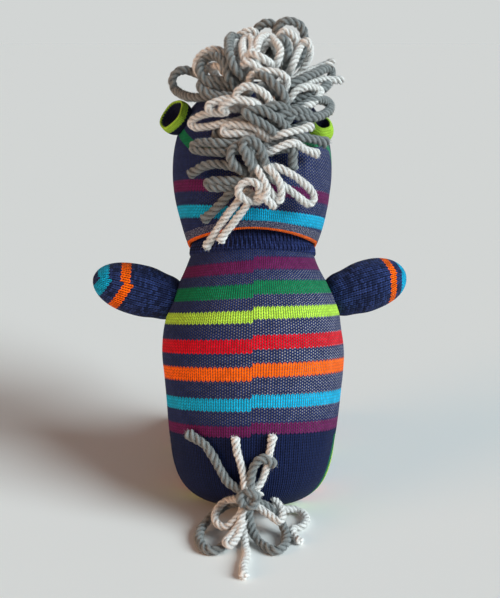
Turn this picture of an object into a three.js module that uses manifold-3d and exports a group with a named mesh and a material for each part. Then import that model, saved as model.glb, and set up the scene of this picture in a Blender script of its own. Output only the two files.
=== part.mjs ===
// Stuffed zebra sewn from striped knitted socks, sitting and leaning forward a little.
// One sock is the body: its heel is the seat, its cuff the neck, and its foot is cut into two legs.
// A second sock makes the head, arms, ears and muzzle. Mane and tail are bulky yarn.
// Millimetres, +Z up. The toy faces +Y, and the origin is the middle of the flattened seat.
import * as THREE from "three";
import { mergeVertices } from "three/addons/utils/BufferGeometryUtils.js";
import Module from "manifold-3d";

const wasm = await Module();
wasm.setup();

// Posture, in degrees
const LEAN = 15;
const LEFT_ARM_RAISE = 11;
const RIGHT_ARM_RAISE = 15;
const LEG_TOE_OUT = 8;

// Fabric, filling and the room between pieces
const KNIT = 1.4;
const FILL_GAP = 0.4;
const SEWN_GAP = 0.3;
const KNOT_GAP = 0.4;
const SOCKET_GAP = 1.1;
const FLATTENED = 5;

// Body sock: heights are measured up the leaning body from below its seat
const SEAT_HEIGHT = 3;
const BELLY_HEIGHT = 84;
const BELLY_RADIUS = 50;
const BODY_DEPTH = 88;
const HIP_TAPER = 0.15;
const SEAT_SQUARENESS = 8;
const SHOULDER_FULLNESS = 2.2;
const SHOULDER_HOLLOW = 1.5;
const NECK_HEIGHT = 141;
const NECK_RADIUS = 33.4;
const CUFF_LENGTH = 13;
const CUFF_GATHER = 6;
const CUFF_STRAIGHT = 5;

// Neck: a ball of filling above the cuff's fold, on which the head nods and turns
const NECK_PIVOT_RISE = 9;
const NECK_BALL_RADIUS = 20;

// Head sock: its hem rises above the cuff's fold
const HEM_RISE = 6.4;
const HEM_RADIUS = 35.8;
const CHEEK_HEIGHT = 186;
const CHEEK_RADIUS = 43.4;
const HEAD_DEPTH = 83;
const CROWN_HEIGHT = 232.7;
const CROWN_SQUARENESS = 2.3;
const HEAD_FILL_RISE = 10;

// Arms and legs: a ball at the joint, swelling and then tapering to a rounded end
const SHOULDER_HEIGHT = 116;
const SHOULDER_OUT = 5;
const ARM_ROOT_RADIUS = 12.5;
const ARM_RADIUS = 14.2;
const ARM_SWELL_AT = 11;
const LEFT_ARM_LENGTH = 39;
const RIGHT_ARM_LENGTH = 36.5;
const HIP_SPREAD = 25;
const HIP_OUT = 5;
const LEG_ROOT_RADIUS = 14;
const LEG_RADIUS = 15.2;
const LEG_SWELL_AT = 18;
const LEG_LENGTH = 62;
const LEG_FLATTENED = 0.8;
const LIMB_BLUNTNESS = 2.5;
const LIMB_OPENING = 6;

// Ears: shallow cups of doubled knit
const EAR_RADIUS = 9;
const EAR_WALL = 1.8;
const EAR_RIM = 2.5;
const EAR_TILT = 40;
const LEFT_EAR_HEIGHT = 214;
const LEFT_EAR_OUT = 7.5;
const LEFT_EAR_BACKWARD = 12;
const RIGHT_EAR_HEIGHT = 209;
const RIGHT_EAR_OUT = 4;
const RIGHT_EAR_BACKWARD = 25;

// Muzzle above the hem, and eyes above the muzzle
const MUZZLE_RISE = 27.6;
const MUZZLE_HALF_WIDTH = 27;
const MUZZLE_HALF_HEIGHT = 20;
const MUZZLE_REACH = 22;
const EYE_RISE = 31;
const EYE_SPREAD = 17;
const BUTTON_RADIUS = 5.5;
const BUTTON_THICKNESS = 2;
const BUTTON_EDGE = 0.5;
const BUTTON_HOLE_RADIUS = 1.1;
const BUTTON_HOLE_SPREAD = 1.8;
const THREAD_RADIUS = 0.5;

// Yarn of the mane and the tail
const GREY_YARN_RADIUS = 2.1;
const WHITE_YARN_RADIUS = 1.65;
const MANE_FRONT = 128;
const MANE_ROWS = 16;
const MANE_REACH = 34;
const MANE_REACH_CHANGE = 6;
const MANE_REACH_RATE = 1.7;
const MANE_NAPE_LIFT = -6;
const MANE_CROWN_LIFT = 60;
const MANE_CREST_AT = 0.62;
const MANE_LIFT_CHANGE = 20;
const MANE_LIFT_RATE = 2.4;
const MANE_CURL = 1.4;
const MANE_SWELL = 1.2;
const MANE_HUG = 0.8;
const MANE_CUT_END = 0.62;
const TAIL_HEIGHT = 15;
const TAIL_KNOT_RADIUS = 6;
const FLOOR_GAP = 0.3;
const LEG_GAP = 0.6;
const TAIL_END_LENGTH = 36;
const TAIL_END_FALL = 0.6;
const TAIL_END_DRIFT = 2;
const KNOT_EXIT = 0.8;

// Facets, steps and sample counts
const ROUND_SIDES = 24;
const INNER_SIDES = 16;
const BALL_SIDES = 14;
const LIMB_SIDES = 12;
const BODY_RINGS = 6;
const HEAD_RINGS = 8;
const ROOT_RINGS = 3;
const LIMB_RINGS = 5;
const EAR_RINGS = 5;
const YARN_SIDES = 6;
const YARN_STEP = 1.7;
const SEAT_HALVINGS = 30;
const LOOP_POINTS = 12;
const LINE_POINTS = 40;
const SEAT_SAMPLES = 400;
const SEARCH_STEP = 0.1;
const RING_GAP = 0.5;
const SAME_POINT = 1e-4;
const NEAR_AXIS = 0.01;
const GROUND_WIDTH = 400;
const GROUND_DEPTH = 100;

const radians = THREE.MathUtils.degToRad;
const X_AXIS = new THREE.Vector3(1, 0, 0);
const Z_AXIS = new THREE.Vector3(0, 0, 1);
const SIDES = [
  ["left", -1],
  ["right", 1],
];

// Colours as they are in daylight
const NAVY = 0x23253f;
const PURPLE = 0x5a2050;
const LIME = 0xb4e04a;
const GREY = 0x6a6c6e;
const WHITE = 0xece7e0;
const FIBRE = 0xf4f2ee;
const BUTTON_BLACK = 0x17161a;
const KNIT_ROUGHNESS = 0.95;
const YARN_ROUGHNESS = 1;
const BUTTON_ROUGHNESS = 0.3;

function finish(color, roughness) {
  return new THREE.MeshStandardMaterial({ color, roughness, metalness: 0 });
}

// A closed mesh becomes a solid, and a solid becomes a geometry again
function solidOf(geometry) {
  const bare = geometry.clone();
  bare.deleteAttribute("normal");
  bare.deleteAttribute("uv");
  const merged = mergeVertices(bare, SAME_POINT);
  return new wasm.Manifold(
    new wasm.Mesh({
      numProp: 3,
      vertProperties: merged.attributes.position.array,
      triVerts: new Uint32Array(merged.index.array),
    }),
  );
}

function geometryOf(solid) {
  const mesh = solid.getMesh();
  const geometry = new THREE.BufferGeometry();
  geometry.setAttribute("position", new THREE.BufferAttribute(mesh.vertProperties, 3));
  geometry.setIndex(new THREE.BufferAttribute(mesh.triVerts, 1));
  geometry.computeVertexNormals();
  return geometry;
}

// A round form from its outline, [radius, height] from the bottom up, squeezed front to back
function turned(outline, sides, squeeze) {
  const points = outline.map(([radius, height]) => new THREE.Vector2(radius, height));
  const geometry = new THREE.LatheGeometry(points, sides);
  return geometry.rotateX(Math.PI / 2).scale(1, squeeze, 1);
}

// The open outline moved inwards by a fabric's thickness, at right angles to itself
function insetOutline(outline, distance) {
  const last = outline.length - 1;
  return outline.map(([radius, height], i) => {
    const [r0, h0] = outline[Math.max(i - 1, 0)];
    const [r1, h1] = outline[Math.min(i + 1, last)];
    const length = Math.hypot(r1 - r0, h1 - h0);
    const moved = radius - (distance * (h1 - h0)) / length;
    return [radius === 0 ? 0 : Math.max(moved, NEAR_AXIS), height + (distance * (r1 - r0)) / length];
  });
}

function ballSolid(centre, radius, sides = BALL_SIDES) {
  const geometry = new THREE.SphereGeometry(radius, sides, sides / 2 + 2);
  return solidOf(geometry.translate(centre.x, centre.y, centre.z));
}

function evenly(count) {
  return Array.from({ length: count + 1 }, (_, i) => i / count);
}

function addPiece(group, name, geometry, material) {
  const mesh = new THREE.Mesh(geometry, material);
  mesh.name = name;
  group.add(mesh);
}

// Body outline: a tapering seat with a round corner, and shoulders drawn in to the neck
const bodySqueeze = BODY_DEPTH / (2 * BELLY_RADIUS);
const cuffBend = NECK_HEIGHT + CUFF_STRAIGHT;
const cuffTop = NECK_HEIGHT + CUFF_LENGTH;

function bodyRadius(height) {
  if (height < BELLY_HEIGHT) {
    const down = Math.min((BELLY_HEIGHT - height) / (BELLY_HEIGHT - SEAT_HEIGHT), 1);
    return BELLY_RADIUS * (1 - HIP_TAPER * down) * Math.cbrt(1 - down ** SEAT_SQUARENESS);
  }
  const up = Math.min((height - BELLY_HEIGHT) / (NECK_HEIGHT - BELLY_HEIGHT), 1);
  const slope = (1 - up ** SHOULDER_FULLNESS) ** SHOULDER_HOLLOW;
  const gathered = Math.max(height - cuffBend, 0) / (cuffTop - cuffBend);
  return NECK_RADIUS + (BELLY_RADIUS - NECK_RADIUS) * slope - CUFF_GATHER * gathered;
}

const seatOutline = evenly(BODY_RINGS).map((share) => {
  const height = BELLY_HEIGHT - (BELLY_HEIGHT - SEAT_HEIGHT) * Math.cos((share * Math.PI) / 2);
  return [share === 0 ? 0 : bodyRadius(height), height];
});
const shoulderOutline = evenly(BODY_RINGS).slice(1).map((share) => {
  const height = BELLY_HEIGHT + (NECK_HEIGHT - BELLY_HEIGHT) * share;
  return [bodyRadius(height), height];
});
const cuffOutline = [cuffBend, cuffTop].map((height) => [bodyRadius(height), height]);
const bodyOutline = [...seatOutline, ...shoulderOutline, ...cuffOutline];

// Where the torso stands: leaning, and sunk until its seat is flat on the ground
const leaning = new THREE.Matrix4().makeRotationX(-radians(LEAN));

function leaned(x, y, height) {
  return new THREE.Vector3(x, y, height).applyMatrix4(leaning);
}

const seatPoints = evenly(SEAT_SAMPLES).flatMap((share) => {
  const height = SEAT_HEIGHT + (BELLY_HEIGHT - SEAT_HEIGHT) * share;
  const depth = bodySqueeze * bodyRadius(height);
  return [leaned(0, depth, height), leaned(0, -depth, height)];
});
const groundLevel = Math.min(...seatPoints.map((p) => p.z)) + FLATTENED;
const flatPoints = seatPoints.filter((p) => p.z < groundLevel).map((p) => p.y);
const seatMiddle = (Math.min(...flatPoints) + Math.max(...flatPoints)) / 2;

const part = new THREE.Group();
const torso = new THREE.Group();
torso.rotation.x = -radians(LEAN);
torso.position.set(0, -seatMiddle, -groundLevel);
part.add(torso);
torso.updateMatrixWorld(true);
const intoTorso = torso.matrixWorld.clone().invert();

// The ground as a thick slab, raised by a distance, moved into a leaning frame
function groundSolid(raised, intoFrame) {
  const slab = new THREE.BoxGeometry(GROUND_WIDTH, GROUND_WIDTH, GROUND_DEPTH);
  slab.translate(0, 0, raised - GROUND_DEPTH / 2);
  return solidOf(slab.applyMatrix4(intoFrame));
}

function insideBody(point) {
  const radius = bodyRadius(Math.max(point.z, SEAT_HEIGHT));
  return Math.hypot(point.x, point.y / bodySqueeze) < radius;
}

// Shoulders sit beside the body, and hips in front of it at the legs' own height
const shoulderX = bodyRadius(SHOULDER_HEIGHT) + SHOULDER_OUT;
const hipHeight = LEG_RADIUS - LEG_FLATTENED;

function hipInFront() {
  let y = 0;
  while (insideBody(new THREE.Vector3(HIP_SPREAD, y, hipHeight).applyMatrix4(intoTorso))) {
    y += SEARCH_STEP;
  }
  return y + HIP_OUT;
}

const hipY = hipInFront();
const shoulders = SIDES.map(([, side]) => new THREE.Vector3(side * shoulderX, 0, SHOULDER_HEIGHT));
const hips = SIDES.map(([, side]) =>
  new THREE.Vector3(side * HIP_SPREAD, hipY, hipHeight).applyMatrix4(intoTorso),
);
const neckPivotHeight = NECK_HEIGHT + NECK_PIVOT_RISE;
const neckPivot = new THREE.Vector3(0, 0, neckPivotHeight);

// The body's form, drawn in by a distance, with the limbs' hollows and the flat seat
function bodySolid(inset, top) {
  const inner = inset === 0 ? bodyOutline : insetOutline(bodyOutline, inset);
  const below = inner.filter(([, height]) => height < top - RING_GAP);
  const rim = top > cuffTop ? inner.at(-1)[0] : bodyRadius(top) - inset;
  const sides = inset === 0 ? ROUND_SIDES : INNER_SIDES;
  let solid = solidOf(turned([...below, [rim, top], [0, top]], sides, bodySqueeze));
  solid = solid.subtract(groundSolid(inset, intoTorso));
  for (const place of shoulders) {
    solid = solid.subtract(ballSolid(place, ARM_ROOT_RADIUS + SOCKET_GAP + inset));
  }
  for (const place of hips) {
    solid = solid.subtract(ballSolid(place, LEG_ROOT_RADIUS + SOCKET_GAP + inset));
  }
  return solid;
}

const bodySock = bodySolid(0, cuffTop).subtract(bodySolid(KNIT, cuffTop + KNIT * 2));
addPiece(torso, "body_sock", geometryOf(bodySock), finish(NAVY, KNIT_ROUGHNESS));

const bodyFill = bodySolid(KNIT + FILL_GAP, cuffBend);
const neckHollow = ballSolid(neckPivot, NECK_BALL_RADIUS + SOCKET_GAP, ROUND_SIDES);
addPiece(torso, "body_stuffing", geometryOf(bodyFill.subtract(neckHollow)), finish(FIBRE, YARN_ROUGHNESS));

// Neck filling
const neckBall = ballSolid(neckPivot, NECK_BALL_RADIUS);
addPiece(torso, "neck_stuffing", geometryOf(neckBall), finish(FIBRE, YARN_ROUGHNESS));

// Head outline: jaw widening from the hem to the cheeks, then a dome
const hemHeight = NECK_HEIGHT + HEM_RISE;
const headSqueeze = HEAD_DEPTH / (2 * CHEEK_RADIUS);
const domeRise = CROWN_HEIGHT - CHEEK_HEIGHT;

function headRadius(height) {
  if (height < CHEEK_HEIGHT) {
    const down = (CHEEK_HEIGHT - height) / (CHEEK_HEIGHT - hemHeight);
    return CHEEK_RADIUS - (CHEEK_RADIUS - HEM_RADIUS) * down ** 2;
  }
  const up = Math.min((height - CHEEK_HEIGHT) / domeRise, 1);
  return CHEEK_RADIUS * (1 - up ** CROWN_SQUARENESS) ** (1 / CROWN_SQUARENESS);
}

const jawOutline = evenly(HEAD_RINGS - 1).map((share) => {
  const height = hemHeight + (CHEEK_HEIGHT - hemHeight) * share;
  return [headRadius(height), height];
});
const domeOutline = evenly(HEAD_RINGS).slice(1).map((share) => {
  const height = CHEEK_HEIGHT + domeRise * Math.sin((share * Math.PI) / 2);
  return [share === 1 ? 0 : headRadius(height), height];
});
const headOutline = [...jawOutline, ...domeOutline];

// Ears: joint centres just off the dome, turned a little towards the back
function earPlace(side, height, out, backward) {
  const reach = headRadius(height) + out;
  const turn = radians(backward);
  const y = -reach * Math.sin(turn) * headSqueeze;
  return new THREE.Vector3(side * reach * Math.cos(turn), y, height);
}

const ears = [
  earPlace(-1, LEFT_EAR_HEIGHT, LEFT_EAR_OUT, LEFT_EAR_BACKWARD),
  earPlace(1, RIGHT_EAR_HEIGHT, RIGHT_EAR_OUT, RIGHT_EAR_BACKWARD),
];

// The head's form, drawn in by a distance, from a given height up, with the ears' hollows
function headSolid(inset, bottom) {
  const inner = inset === 0 ? headOutline : insetOutline(headOutline, inset);
  const above = inner.filter(([, height]) => height > bottom + RING_GAP);
  const rim = bottom < hemHeight ? inner[0][0] : headRadius(bottom) - inset;
  const sides = inset <= 0 ? ROUND_SIDES : INNER_SIDES;
  let solid = solidOf(turned([[0, bottom], [rim, bottom], ...above], sides, headSqueeze));
  for (const place of ears) {
    solid = solid.subtract(ballSolid(place, EAR_RADIUS + SOCKET_GAP + inset));
  }
  return solid;
}

const headSock = headSolid(0, hemHeight).subtract(headSolid(KNIT, hemHeight - KNIT));
addPiece(torso, "head_sock", geometryOf(headSock), finish(PURPLE, KNIT_ROUGHNESS));

const headFill = headSolid(KNIT + FILL_GAP, neckPivotHeight + HEAD_FILL_RISE);
addPiece(torso, "head_stuffing", geometryOf(headFill.subtract(neckHollow)), finish(FIBRE, YARN_ROUGHNESS));

// Limb outline along its own axis: root ball behind the joint, swelling, tapering end
function limbOutline(root, radius, swellAt, length) {
  const ball = evenly(ROOT_RINGS).slice(0, -1).map((share) => {
    const angle = (share * Math.PI) / 2;
    return [root * Math.sin(angle), -root * Math.cos(angle)];
  });
  const swell = [0, 0.5, 1].map((share) => {
    const rise = Math.sin((share * Math.PI) / 2) ** 2;
    return [root + (radius - root) * rise, swellAt * share];
  });
  const end = evenly(LIMB_RINGS).slice(1).map((share) => {
    const along = Math.sin((share * Math.PI) / 2);
    const height = swellAt + (length - swellAt) * along;
    return [share === 1 ? 0 : radius * Math.sqrt(1 - along ** LIMB_BLUNTNESS), height];
  });
  return [...ball, ...swell, ...end];
}

// A limb as its sock, open at the root, and the filling inside it; clip trims both
function addLimb(group, name, outline, root, clip, color) {
  const outer = solidOf(turned(outline, LIMB_SIDES, 1));
  const hollow = solidOf(turned(insetOutline(outline, KNIT), LIMB_SIDES, 1));
  const mouth = [
    [0, -root - KNIT],
    [LIMB_OPENING, -root - KNIT],
    [LIMB_OPENING, 0],
    [0, 0],
  ];
  const cavity = clip(hollow, KNIT).add(solidOf(turned(mouth, LIMB_SIDES, 1)));
  const fill = solidOf(turned(insetOutline(outline, KNIT + FILL_GAP), LIMB_SIDES, 1));
  const sock = geometryOf(clip(outer, 0).subtract(cavity));
  const stuffing = geometryOf(clip(fill, KNIT + FILL_GAP));
  addPiece(group, `${name}_sock`, sock, finish(color, KNIT_ROUGHNESS));
  addPiece(group, `${name}_stuffing`, stuffing, finish(FIBRE, YARN_ROUGHNESS));
}

// Arms point sideways, raised a little
const armLengths = [LEFT_ARM_LENGTH, RIGHT_ARM_LENGTH];
const armRaises = [LEFT_ARM_RAISE, RIGHT_ARM_RAISE];
SIDES.forEach(([name, side], i) => {
  const arm = new THREE.Group();
  arm.position.copy(shoulders[i]);
  arm.rotation.y = side * radians(90 - armRaises[i]);
  torso.add(arm);
  const outline = limbOutline(ARM_ROOT_RADIUS, ARM_RADIUS, ARM_SWELL_AT, armLengths[i]);
  addLimb(arm, `${name}_arm`, outline, ARM_ROOT_RADIUS, (solid) => solid, NAVY);
});

// Legs lie on the ground and point forward, toes out, flattened underneath
SIDES.forEach(([name, side], i) => {
  const leg = new THREE.Group();
  leg.position.copy(hips[i]);
  leg.rotation.set(radians(LEAN - 90), side * radians(LEG_TOE_OUT), 0, "XYZ");
  torso.add(leg);
  leg.updateMatrixWorld(true);
  const intoLeg = leg.matrixWorld.clone().invert();
  const outline = limbOutline(LEG_ROOT_RADIUS, LEG_RADIUS, LEG_SWELL_AT, LEG_LENGTH);
  const clip = (solid, raised) => solid.subtract(groundSolid(raised, intoLeg));
  addLimb(leg, `${name}_leg`, outline, LEG_ROOT_RADIUS, clip, LIME);
});

// Ear cups: open towards the outside, the back and up
SIDES.forEach(([name, side], i) => {
  const cup = evenly(EAR_RINGS).map((share) => {
    const angle = share * Math.acos(-EAR_RIM / EAR_RADIUS);
    return [share === 0 ? 0 : EAR_RADIUS * Math.sin(angle), -EAR_RADIUS * Math.cos(angle)];
  });
  const inside = insetOutline(cup, EAR_WALL).reverse();
  inside[0][1] = EAR_RIM;
  const ear = new THREE.Group();
  ear.position.copy(ears[i]);
  ear.rotation.set(radians(EAR_TILT), side * radians(EAR_TILT), 0);
  torso.add(ear);
  addPiece(ear, `${name}_ear`, turned([...cup, ...inside], LIMB_SIDES, 1), finish(LIME, KNIT_ROUGHNESS));
});

// Muzzle: a padded dome sewn on the front of the head
const muzzleHeight = hemHeight + MUZZLE_RISE;
const muzzleBase = headSqueeze * headRadius(muzzleHeight);
const headFront = headSolid(-SEWN_GAP, hemHeight);

function muzzleSolid(inset) {
  const form = new THREE.SphereGeometry(1, INNER_SIDES, INNER_SIDES / 2);
  form.scale(MUZZLE_HALF_WIDTH - inset, MUZZLE_REACH - inset, MUZZLE_HALF_HEIGHT - inset);
  return solidOf(form.translate(0, muzzleBase, muzzleHeight));
}

const muzzleSock = muzzleSolid(0).subtract(muzzleSolid(KNIT)).subtract(headFront);
addPiece(torso, "muzzle_sock", geometryOf(muzzleSock), finish(NAVY, KNIT_ROUGHNESS));
const muzzleFill = muzzleSolid(KNIT + FILL_GAP).subtract(headFront);
addPiece(torso, "muzzle_stuffing", geometryOf(muzzleFill), finish(FIBRE, YARN_ROUGHNESS));

// A tube of yarn or thread along a smooth line through points
function strand(points, radius) {
  const section = new THREE.Shape();
  for (let i = 0; i < YARN_SIDES; i += 1) {
    const angle = (2 * Math.PI * i) / YARN_SIDES;
    const move = i === 0 ? "moveTo" : "lineTo";
    section[move](radius * Math.cos(angle), radius * Math.sin(angle));
  }
  const extrudePath = new THREE.CatmullRomCurve3(points, false, "centripetal");
  const steps = Math.ceil(extrudePath.getLength() / (YARN_STEP * radius));
  return new THREE.ExtrudeGeometry(section, { steps, extrudePath, bevelEnabled: false });
}

// Least gap between stretches of one strand that are well apart along it
function leastGap(points, radius) {
  const line = new THREE.CatmullRomCurve3(points, false, "centripetal");
  const count = Math.ceil(line.getLength());
  const places = line.getSpacedPoints(count);
  let least = Infinity;
  for (let i = 0; i <= count; i += 1) {
    for (let j = i + Math.ceil(radius * 4); j <= count; j += 1) {
      least = Math.min(least, places[i].distanceTo(places[j]));
    }
  }
  return least - 2 * radius;
}

function addStrand(group, name, points, radius, color) {
  console.log(`${name}: least gap to itself ${leastGap(points, radius).toFixed(2)} mm`);
  addPiece(group, name, strand(points, radius), finish(color, YARN_ROUGHNESS));
}

// Button eyes: two-hole discs lying on the head, each held by a loop of thread
const eyeHeight = muzzleHeight + EYE_RISE;
SIDES.forEach(([name, side]) => {
  const radius = headRadius(eyeHeight);
  const y = headSqueeze * Math.sqrt(radius ** 2 - EYE_SPREAD ** 2);
  const step = 0.5;
  const slope = (headRadius(eyeHeight + step) - headRadius(eyeHeight - step)) / (2 * step);
  const outward = new THREE.Vector3(side * EYE_SPREAD, y / headSqueeze ** 2, -slope * radius);
  outward.normalize();
  const eye = new THREE.Group();
  eye.position.set(side * EYE_SPREAD, y, eyeHeight).addScaledVector(outward, SEWN_GAP);
  eye.quaternion.setFromUnitVectors(Z_AXIS, outward);
  torso.add(eye);
  const disc = new THREE.Shape().absarc(0, 0, BUTTON_RADIUS - BUTTON_EDGE, 0, 2 * Math.PI);
  for (const hole of [-1, 1]) {
    const x = hole * BUTTON_HOLE_SPREAD;
    disc.holes.push(new THREE.Path().absarc(x, 0, BUTTON_HOLE_RADIUS, 0, 2 * Math.PI, true));
  }
  const button = new THREE.ExtrudeGeometry(disc, {
    depth: BUTTON_THICKNESS - 2 * BUTTON_EDGE,
    bevelThickness: BUTTON_EDGE,
    bevelSize: BUTTON_EDGE,
    bevelOffset: 0,
    bevelSegments: 1,
    curveSegments: 6,
  });
  button.translate(0, 0, BUTTON_EDGE);
  addPiece(eye, `${name}_eye_button`, button, finish(BUTTON_BLACK, BUTTON_ROUGHNESS));
  const over = BUTTON_THICKNESS + 2 * THREAD_RADIUS + SEWN_GAP;
  const thread = [
    new THREE.Vector3(-BUTTON_HOLE_SPREAD, 0, 0),
    new THREE.Vector3(-BUTTON_HOLE_SPREAD, 0, BUTTON_THICKNESS),
    new THREE.Vector3(THREAD_RADIUS - BUTTON_HOLE_SPREAD, 0, over),
    new THREE.Vector3(BUTTON_HOLE_SPREAD - THREAD_RADIUS, 0, over),
    new THREE.Vector3(BUTTON_HOLE_SPREAD, 0, BUTTON_THICKNESS),
    new THREE.Vector3(BUTTON_HOLE_SPREAD, 0, 0),
  ];
  addPiece(eye, `${name}_eye_thread`, strand(thread, THREAD_RADIUS), finish(WHITE, YARN_ROUGHNESS));
});

// Mane: yarn laid to and fro across a line from the nape over the crown, standing in loops
const maneLine = new THREE.CatmullRomCurve3(
  evenly(LINE_POINTS).map((share) => {
    const angle = radians(MANE_FRONT * share);
    const power = 2 / CROWN_SQUARENESS;
    const out = Math.sign(Math.cos(angle)) * Math.abs(Math.cos(angle)) ** power;
    const y = -out * CHEEK_RADIUS * headSqueeze;
    return new THREE.Vector3(0, y, CHEEK_HEIGHT + domeRise * Math.sin(angle) ** power);
  }),
);
const manePitch = maneLine.getLength() / MANE_ROWS;

// A loop's tip: how far it goes to the side and how far it stands off the head
function maneTip(index) {
  const share = (index + 1) / MANE_ROWS;
  const crest = MANE_CROWN_LIFT * Math.sin(MANE_CREST_AT * Math.PI * share);
  const change = MANE_LIFT_CHANGE * Math.sin(MANE_LIFT_RATE * index);
  const lift = radians(MANE_NAPE_LIFT + crest + change);
  const reach = MANE_REACH + MANE_REACH_CHANGE * Math.sin(MANE_REACH_RATE * index);
  return { out: reach * Math.cos(lift), rise: reach * Math.sin(lift) };
}

// A point beside the mane's line: a row along it, a distance to the side and a height off it
function besideMane(row, x, height) {
  const share = (row + 0.5) / MANE_ROWS;
  const outward = new THREE.Vector3().crossVectors(X_AXIS, maneLine.getTangentAt(share));
  const point = maneLine.getPointAt(share).addScaledVector(outward, height);
  point.x = x;
  return point;
}

// A point on the way from the mane's line to a tip, moved by an offset along the line
function manePoint(row, side, tip, way, offset, radius) {
  const along = maneLine.getTangentAt((row + 0.5) / MANE_ROWS);
  const x = tip.out * way;
  const headFall = (-MANE_HUG * x * x) / (2 * CHEEK_RADIUS);
  const height = radius + SEWN_GAP + Math.max(tip.rise * way ** MANE_CURL, headFall);
  return besideMane(row, side * x, height).addScaledVector(along, offset);
}

// One unbroken yarn over some rows, with a cut end at its first and its last
function maneStrand(firstRow, rows, radius) {
  const points = [];
  for (let i = 0; i < rows; i += 1) {
    const row = firstRow + i;
    const side = row % 2 === 0 ? 1 : -1;
    const before = maneTip(row - 1);
    const after = maneTip(row);
    const bend = manePitch / 2 / MANE_REACH;
    const first = i === 0 ? MANE_CUT_END : 1 - bend;
    const last = i === rows - 1 ? MANE_CUT_END : 1 - bend;
    points.push(manePoint(row, -side, before, first, MANE_SWELL, radius));
    points.push(manePoint(row, -side, before, first / 2, MANE_SWELL / 2, radius));
    points.push(manePoint(row, side, after, 0, 0, radius));
    points.push(manePoint(row, side, after, last / 2, -MANE_SWELL / 2, radius));
    points.push(manePoint(row, side, after, last, -MANE_SWELL, radius));
    if (i < rows - 1) {
      points.push(manePoint(row + 0.5, side, after, 1, 0, radius));
    }
  }
  return points;
}

const MANE_STRANDS = [
  ["mane_nape_white", 0, 3, WHITE_YARN_RADIUS, WHITE],
  ["mane_back_grey", 3, 3, GREY_YARN_RADIUS, GREY],
  ["mane_crown_white", 6, 3, WHITE_YARN_RADIUS, WHITE],
  ["mane_top_grey", 9, 4, GREY_YARN_RADIUS, GREY],
  ["mane_brow_white", 13, 3, WHITE_YARN_RADIUS, WHITE],
];
for (const [name, firstRow, rows, radius, color] of MANE_STRANDS) {
  addStrand(torso, name, maneStrand(firstRow, rows, radius), radius, color);
}

// A point where yarn lies on the head beside the mane's line, its height found by halving
function maneSeat(row, x, radius) {
  let inside = -CHEEK_RADIUS;
  let outside = 0;
  for (let i = 0; i < SEAT_HALVINGS; i += 1) {
    const middle = (inside + outside) / 2;
    const point = besideMane(row, x, middle);
    const isOutside = Math.hypot(point.x, point.y / headSqueeze) > headRadius(point.z);
    inside = isOutside ? inside : middle;
    outside = isOutside ? middle : outside;
  }
  const slope = Math.sqrt(1 - (x / CHEEK_RADIUS) ** 2);
  return besideMane(row, x, outside + (radius + SEWN_GAP) / slope);
}

// Wide loops sewn down on both sides of the rows: where each starts, its way out and back, where it ends
const MANE_SIDE_LOOPS = [
  [
    "mane_right_grey",
    [4.2, 20],
    [[5.2, 25.5, 6], [6.8, 33, 9], [8.4, 41, 9], [8.6, 43, 4], [7.2, 37, -2], [6.2, 27, -4]],
    [5.6, 18],
  ],
  [
    "mane_left_grey",
    [4.2, -20],
    [[5.8, -32, -2], [8, -41, -1], [8.7, -43, 3], [8.7, -39, 7], [7.6, -30, 7]],
    [5.6, -18],
  ],
];
for (const [name, start, free, end] of MANE_SIDE_LOOPS) {
  const points = free.map((place) => besideMane(...place));
  points.unshift(maneSeat(...start, GREY_YARN_RADIUS));
  points.push(maneSeat(...end, GREY_YARN_RADIUS));
  addStrand(torso, name, points, GREY_YARN_RADIUS, GREY);
}

// A point off the body's back, at a height up the leaning body
function onBack(x, height, off) {
  const radius = bodyRadius(height);
  const depth = bodySqueeze * Math.sqrt(radius ** 2 - x ** 2);
  return new THREE.Vector3(x, -depth - off, height);
}

// Tail knot on the lower back, and its place on the ground plan
const knotAt = onBack(0, TAIL_HEIGHT, TAIL_KNOT_RADIUS + SEWN_GAP);
const knot = new THREE.SphereGeometry(TAIL_KNOT_RADIUS, 12, 8);
knot.translate(knotAt.x, knotAt.y, knotAt.z);
addPiece(torso, "tail_knot", knot, finish(GREY, 1));
const knotOnGround = knotAt.clone().applyMatrix4(torso.matrixWorld);

// Cut ends that lie up the back: steps sideways and up from the knot
const TAIL_ENDS = [
  ["tail_grey_end_left", GREY_YARN_RADIUS, GREY, [[-5.8, 5], [-13, 11], [-20, 21], [-31, 31]]],
  ["tail_white_end_left", WHITE_YARN_RADIUS, WHITE, [[-1.9, 7.6], [-4.5, 18], [-8, 31]]],
  ["tail_grey_hook", GREY_YARN_RADIUS, GREY, [[2.8, 7.6], [3.5, 16], [8, 20], [13, 16.5]]],
  ["tail_white_end_right", WHITE_YARN_RADIUS, WHITE, [[6.6, 4.6], [14, 9], [19, 18], [20, 30]]],
];
for (const [name, radius, color, steps] of TAIL_ENDS) {
  const points = steps.map(([x, up], i) => {
    const lift = i === 0 ? TAIL_KNOT_RADIUS * KNOT_EXIT : 2 * KNOT_GAP;
    return onBack(x, TAIL_HEIGHT + up, radius + lift);
  });
  addStrand(torso, name, points, radius, color);
}

// A bow loop: out from the knot, sinking to its own level, round and back to the knot
function bowLoop(heading, reach, width, radius, rootRise, tipRise) {
  const away = new THREE.Vector3(Math.cos(radians(heading)), Math.sin(radians(heading)), 0);
  const across = new THREE.Vector3(-away.y, away.x, 0);
  const start = TAIL_KNOT_RADIUS + KNOT_GAP;
  const high = knotOnGround.z + rootRise;
  const low = radius + FLOOR_GAP + tipRise;
  return evenly(LOOP_POINTS).map((share) => {
    const out = Math.sin(Math.PI * share);
    const legs = (2 * share - 1) * (radius + LEG_GAP);
    const point = knotOnGround.clone().addScaledVector(away, start + (reach - start) * out);
    point.addScaledVector(across, legs - (Math.sin(2 * Math.PI * share) * width) / 2);
    point.z = low + (high - low) * (1 - out) ** 2;
    return point;
  });
}

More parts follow.
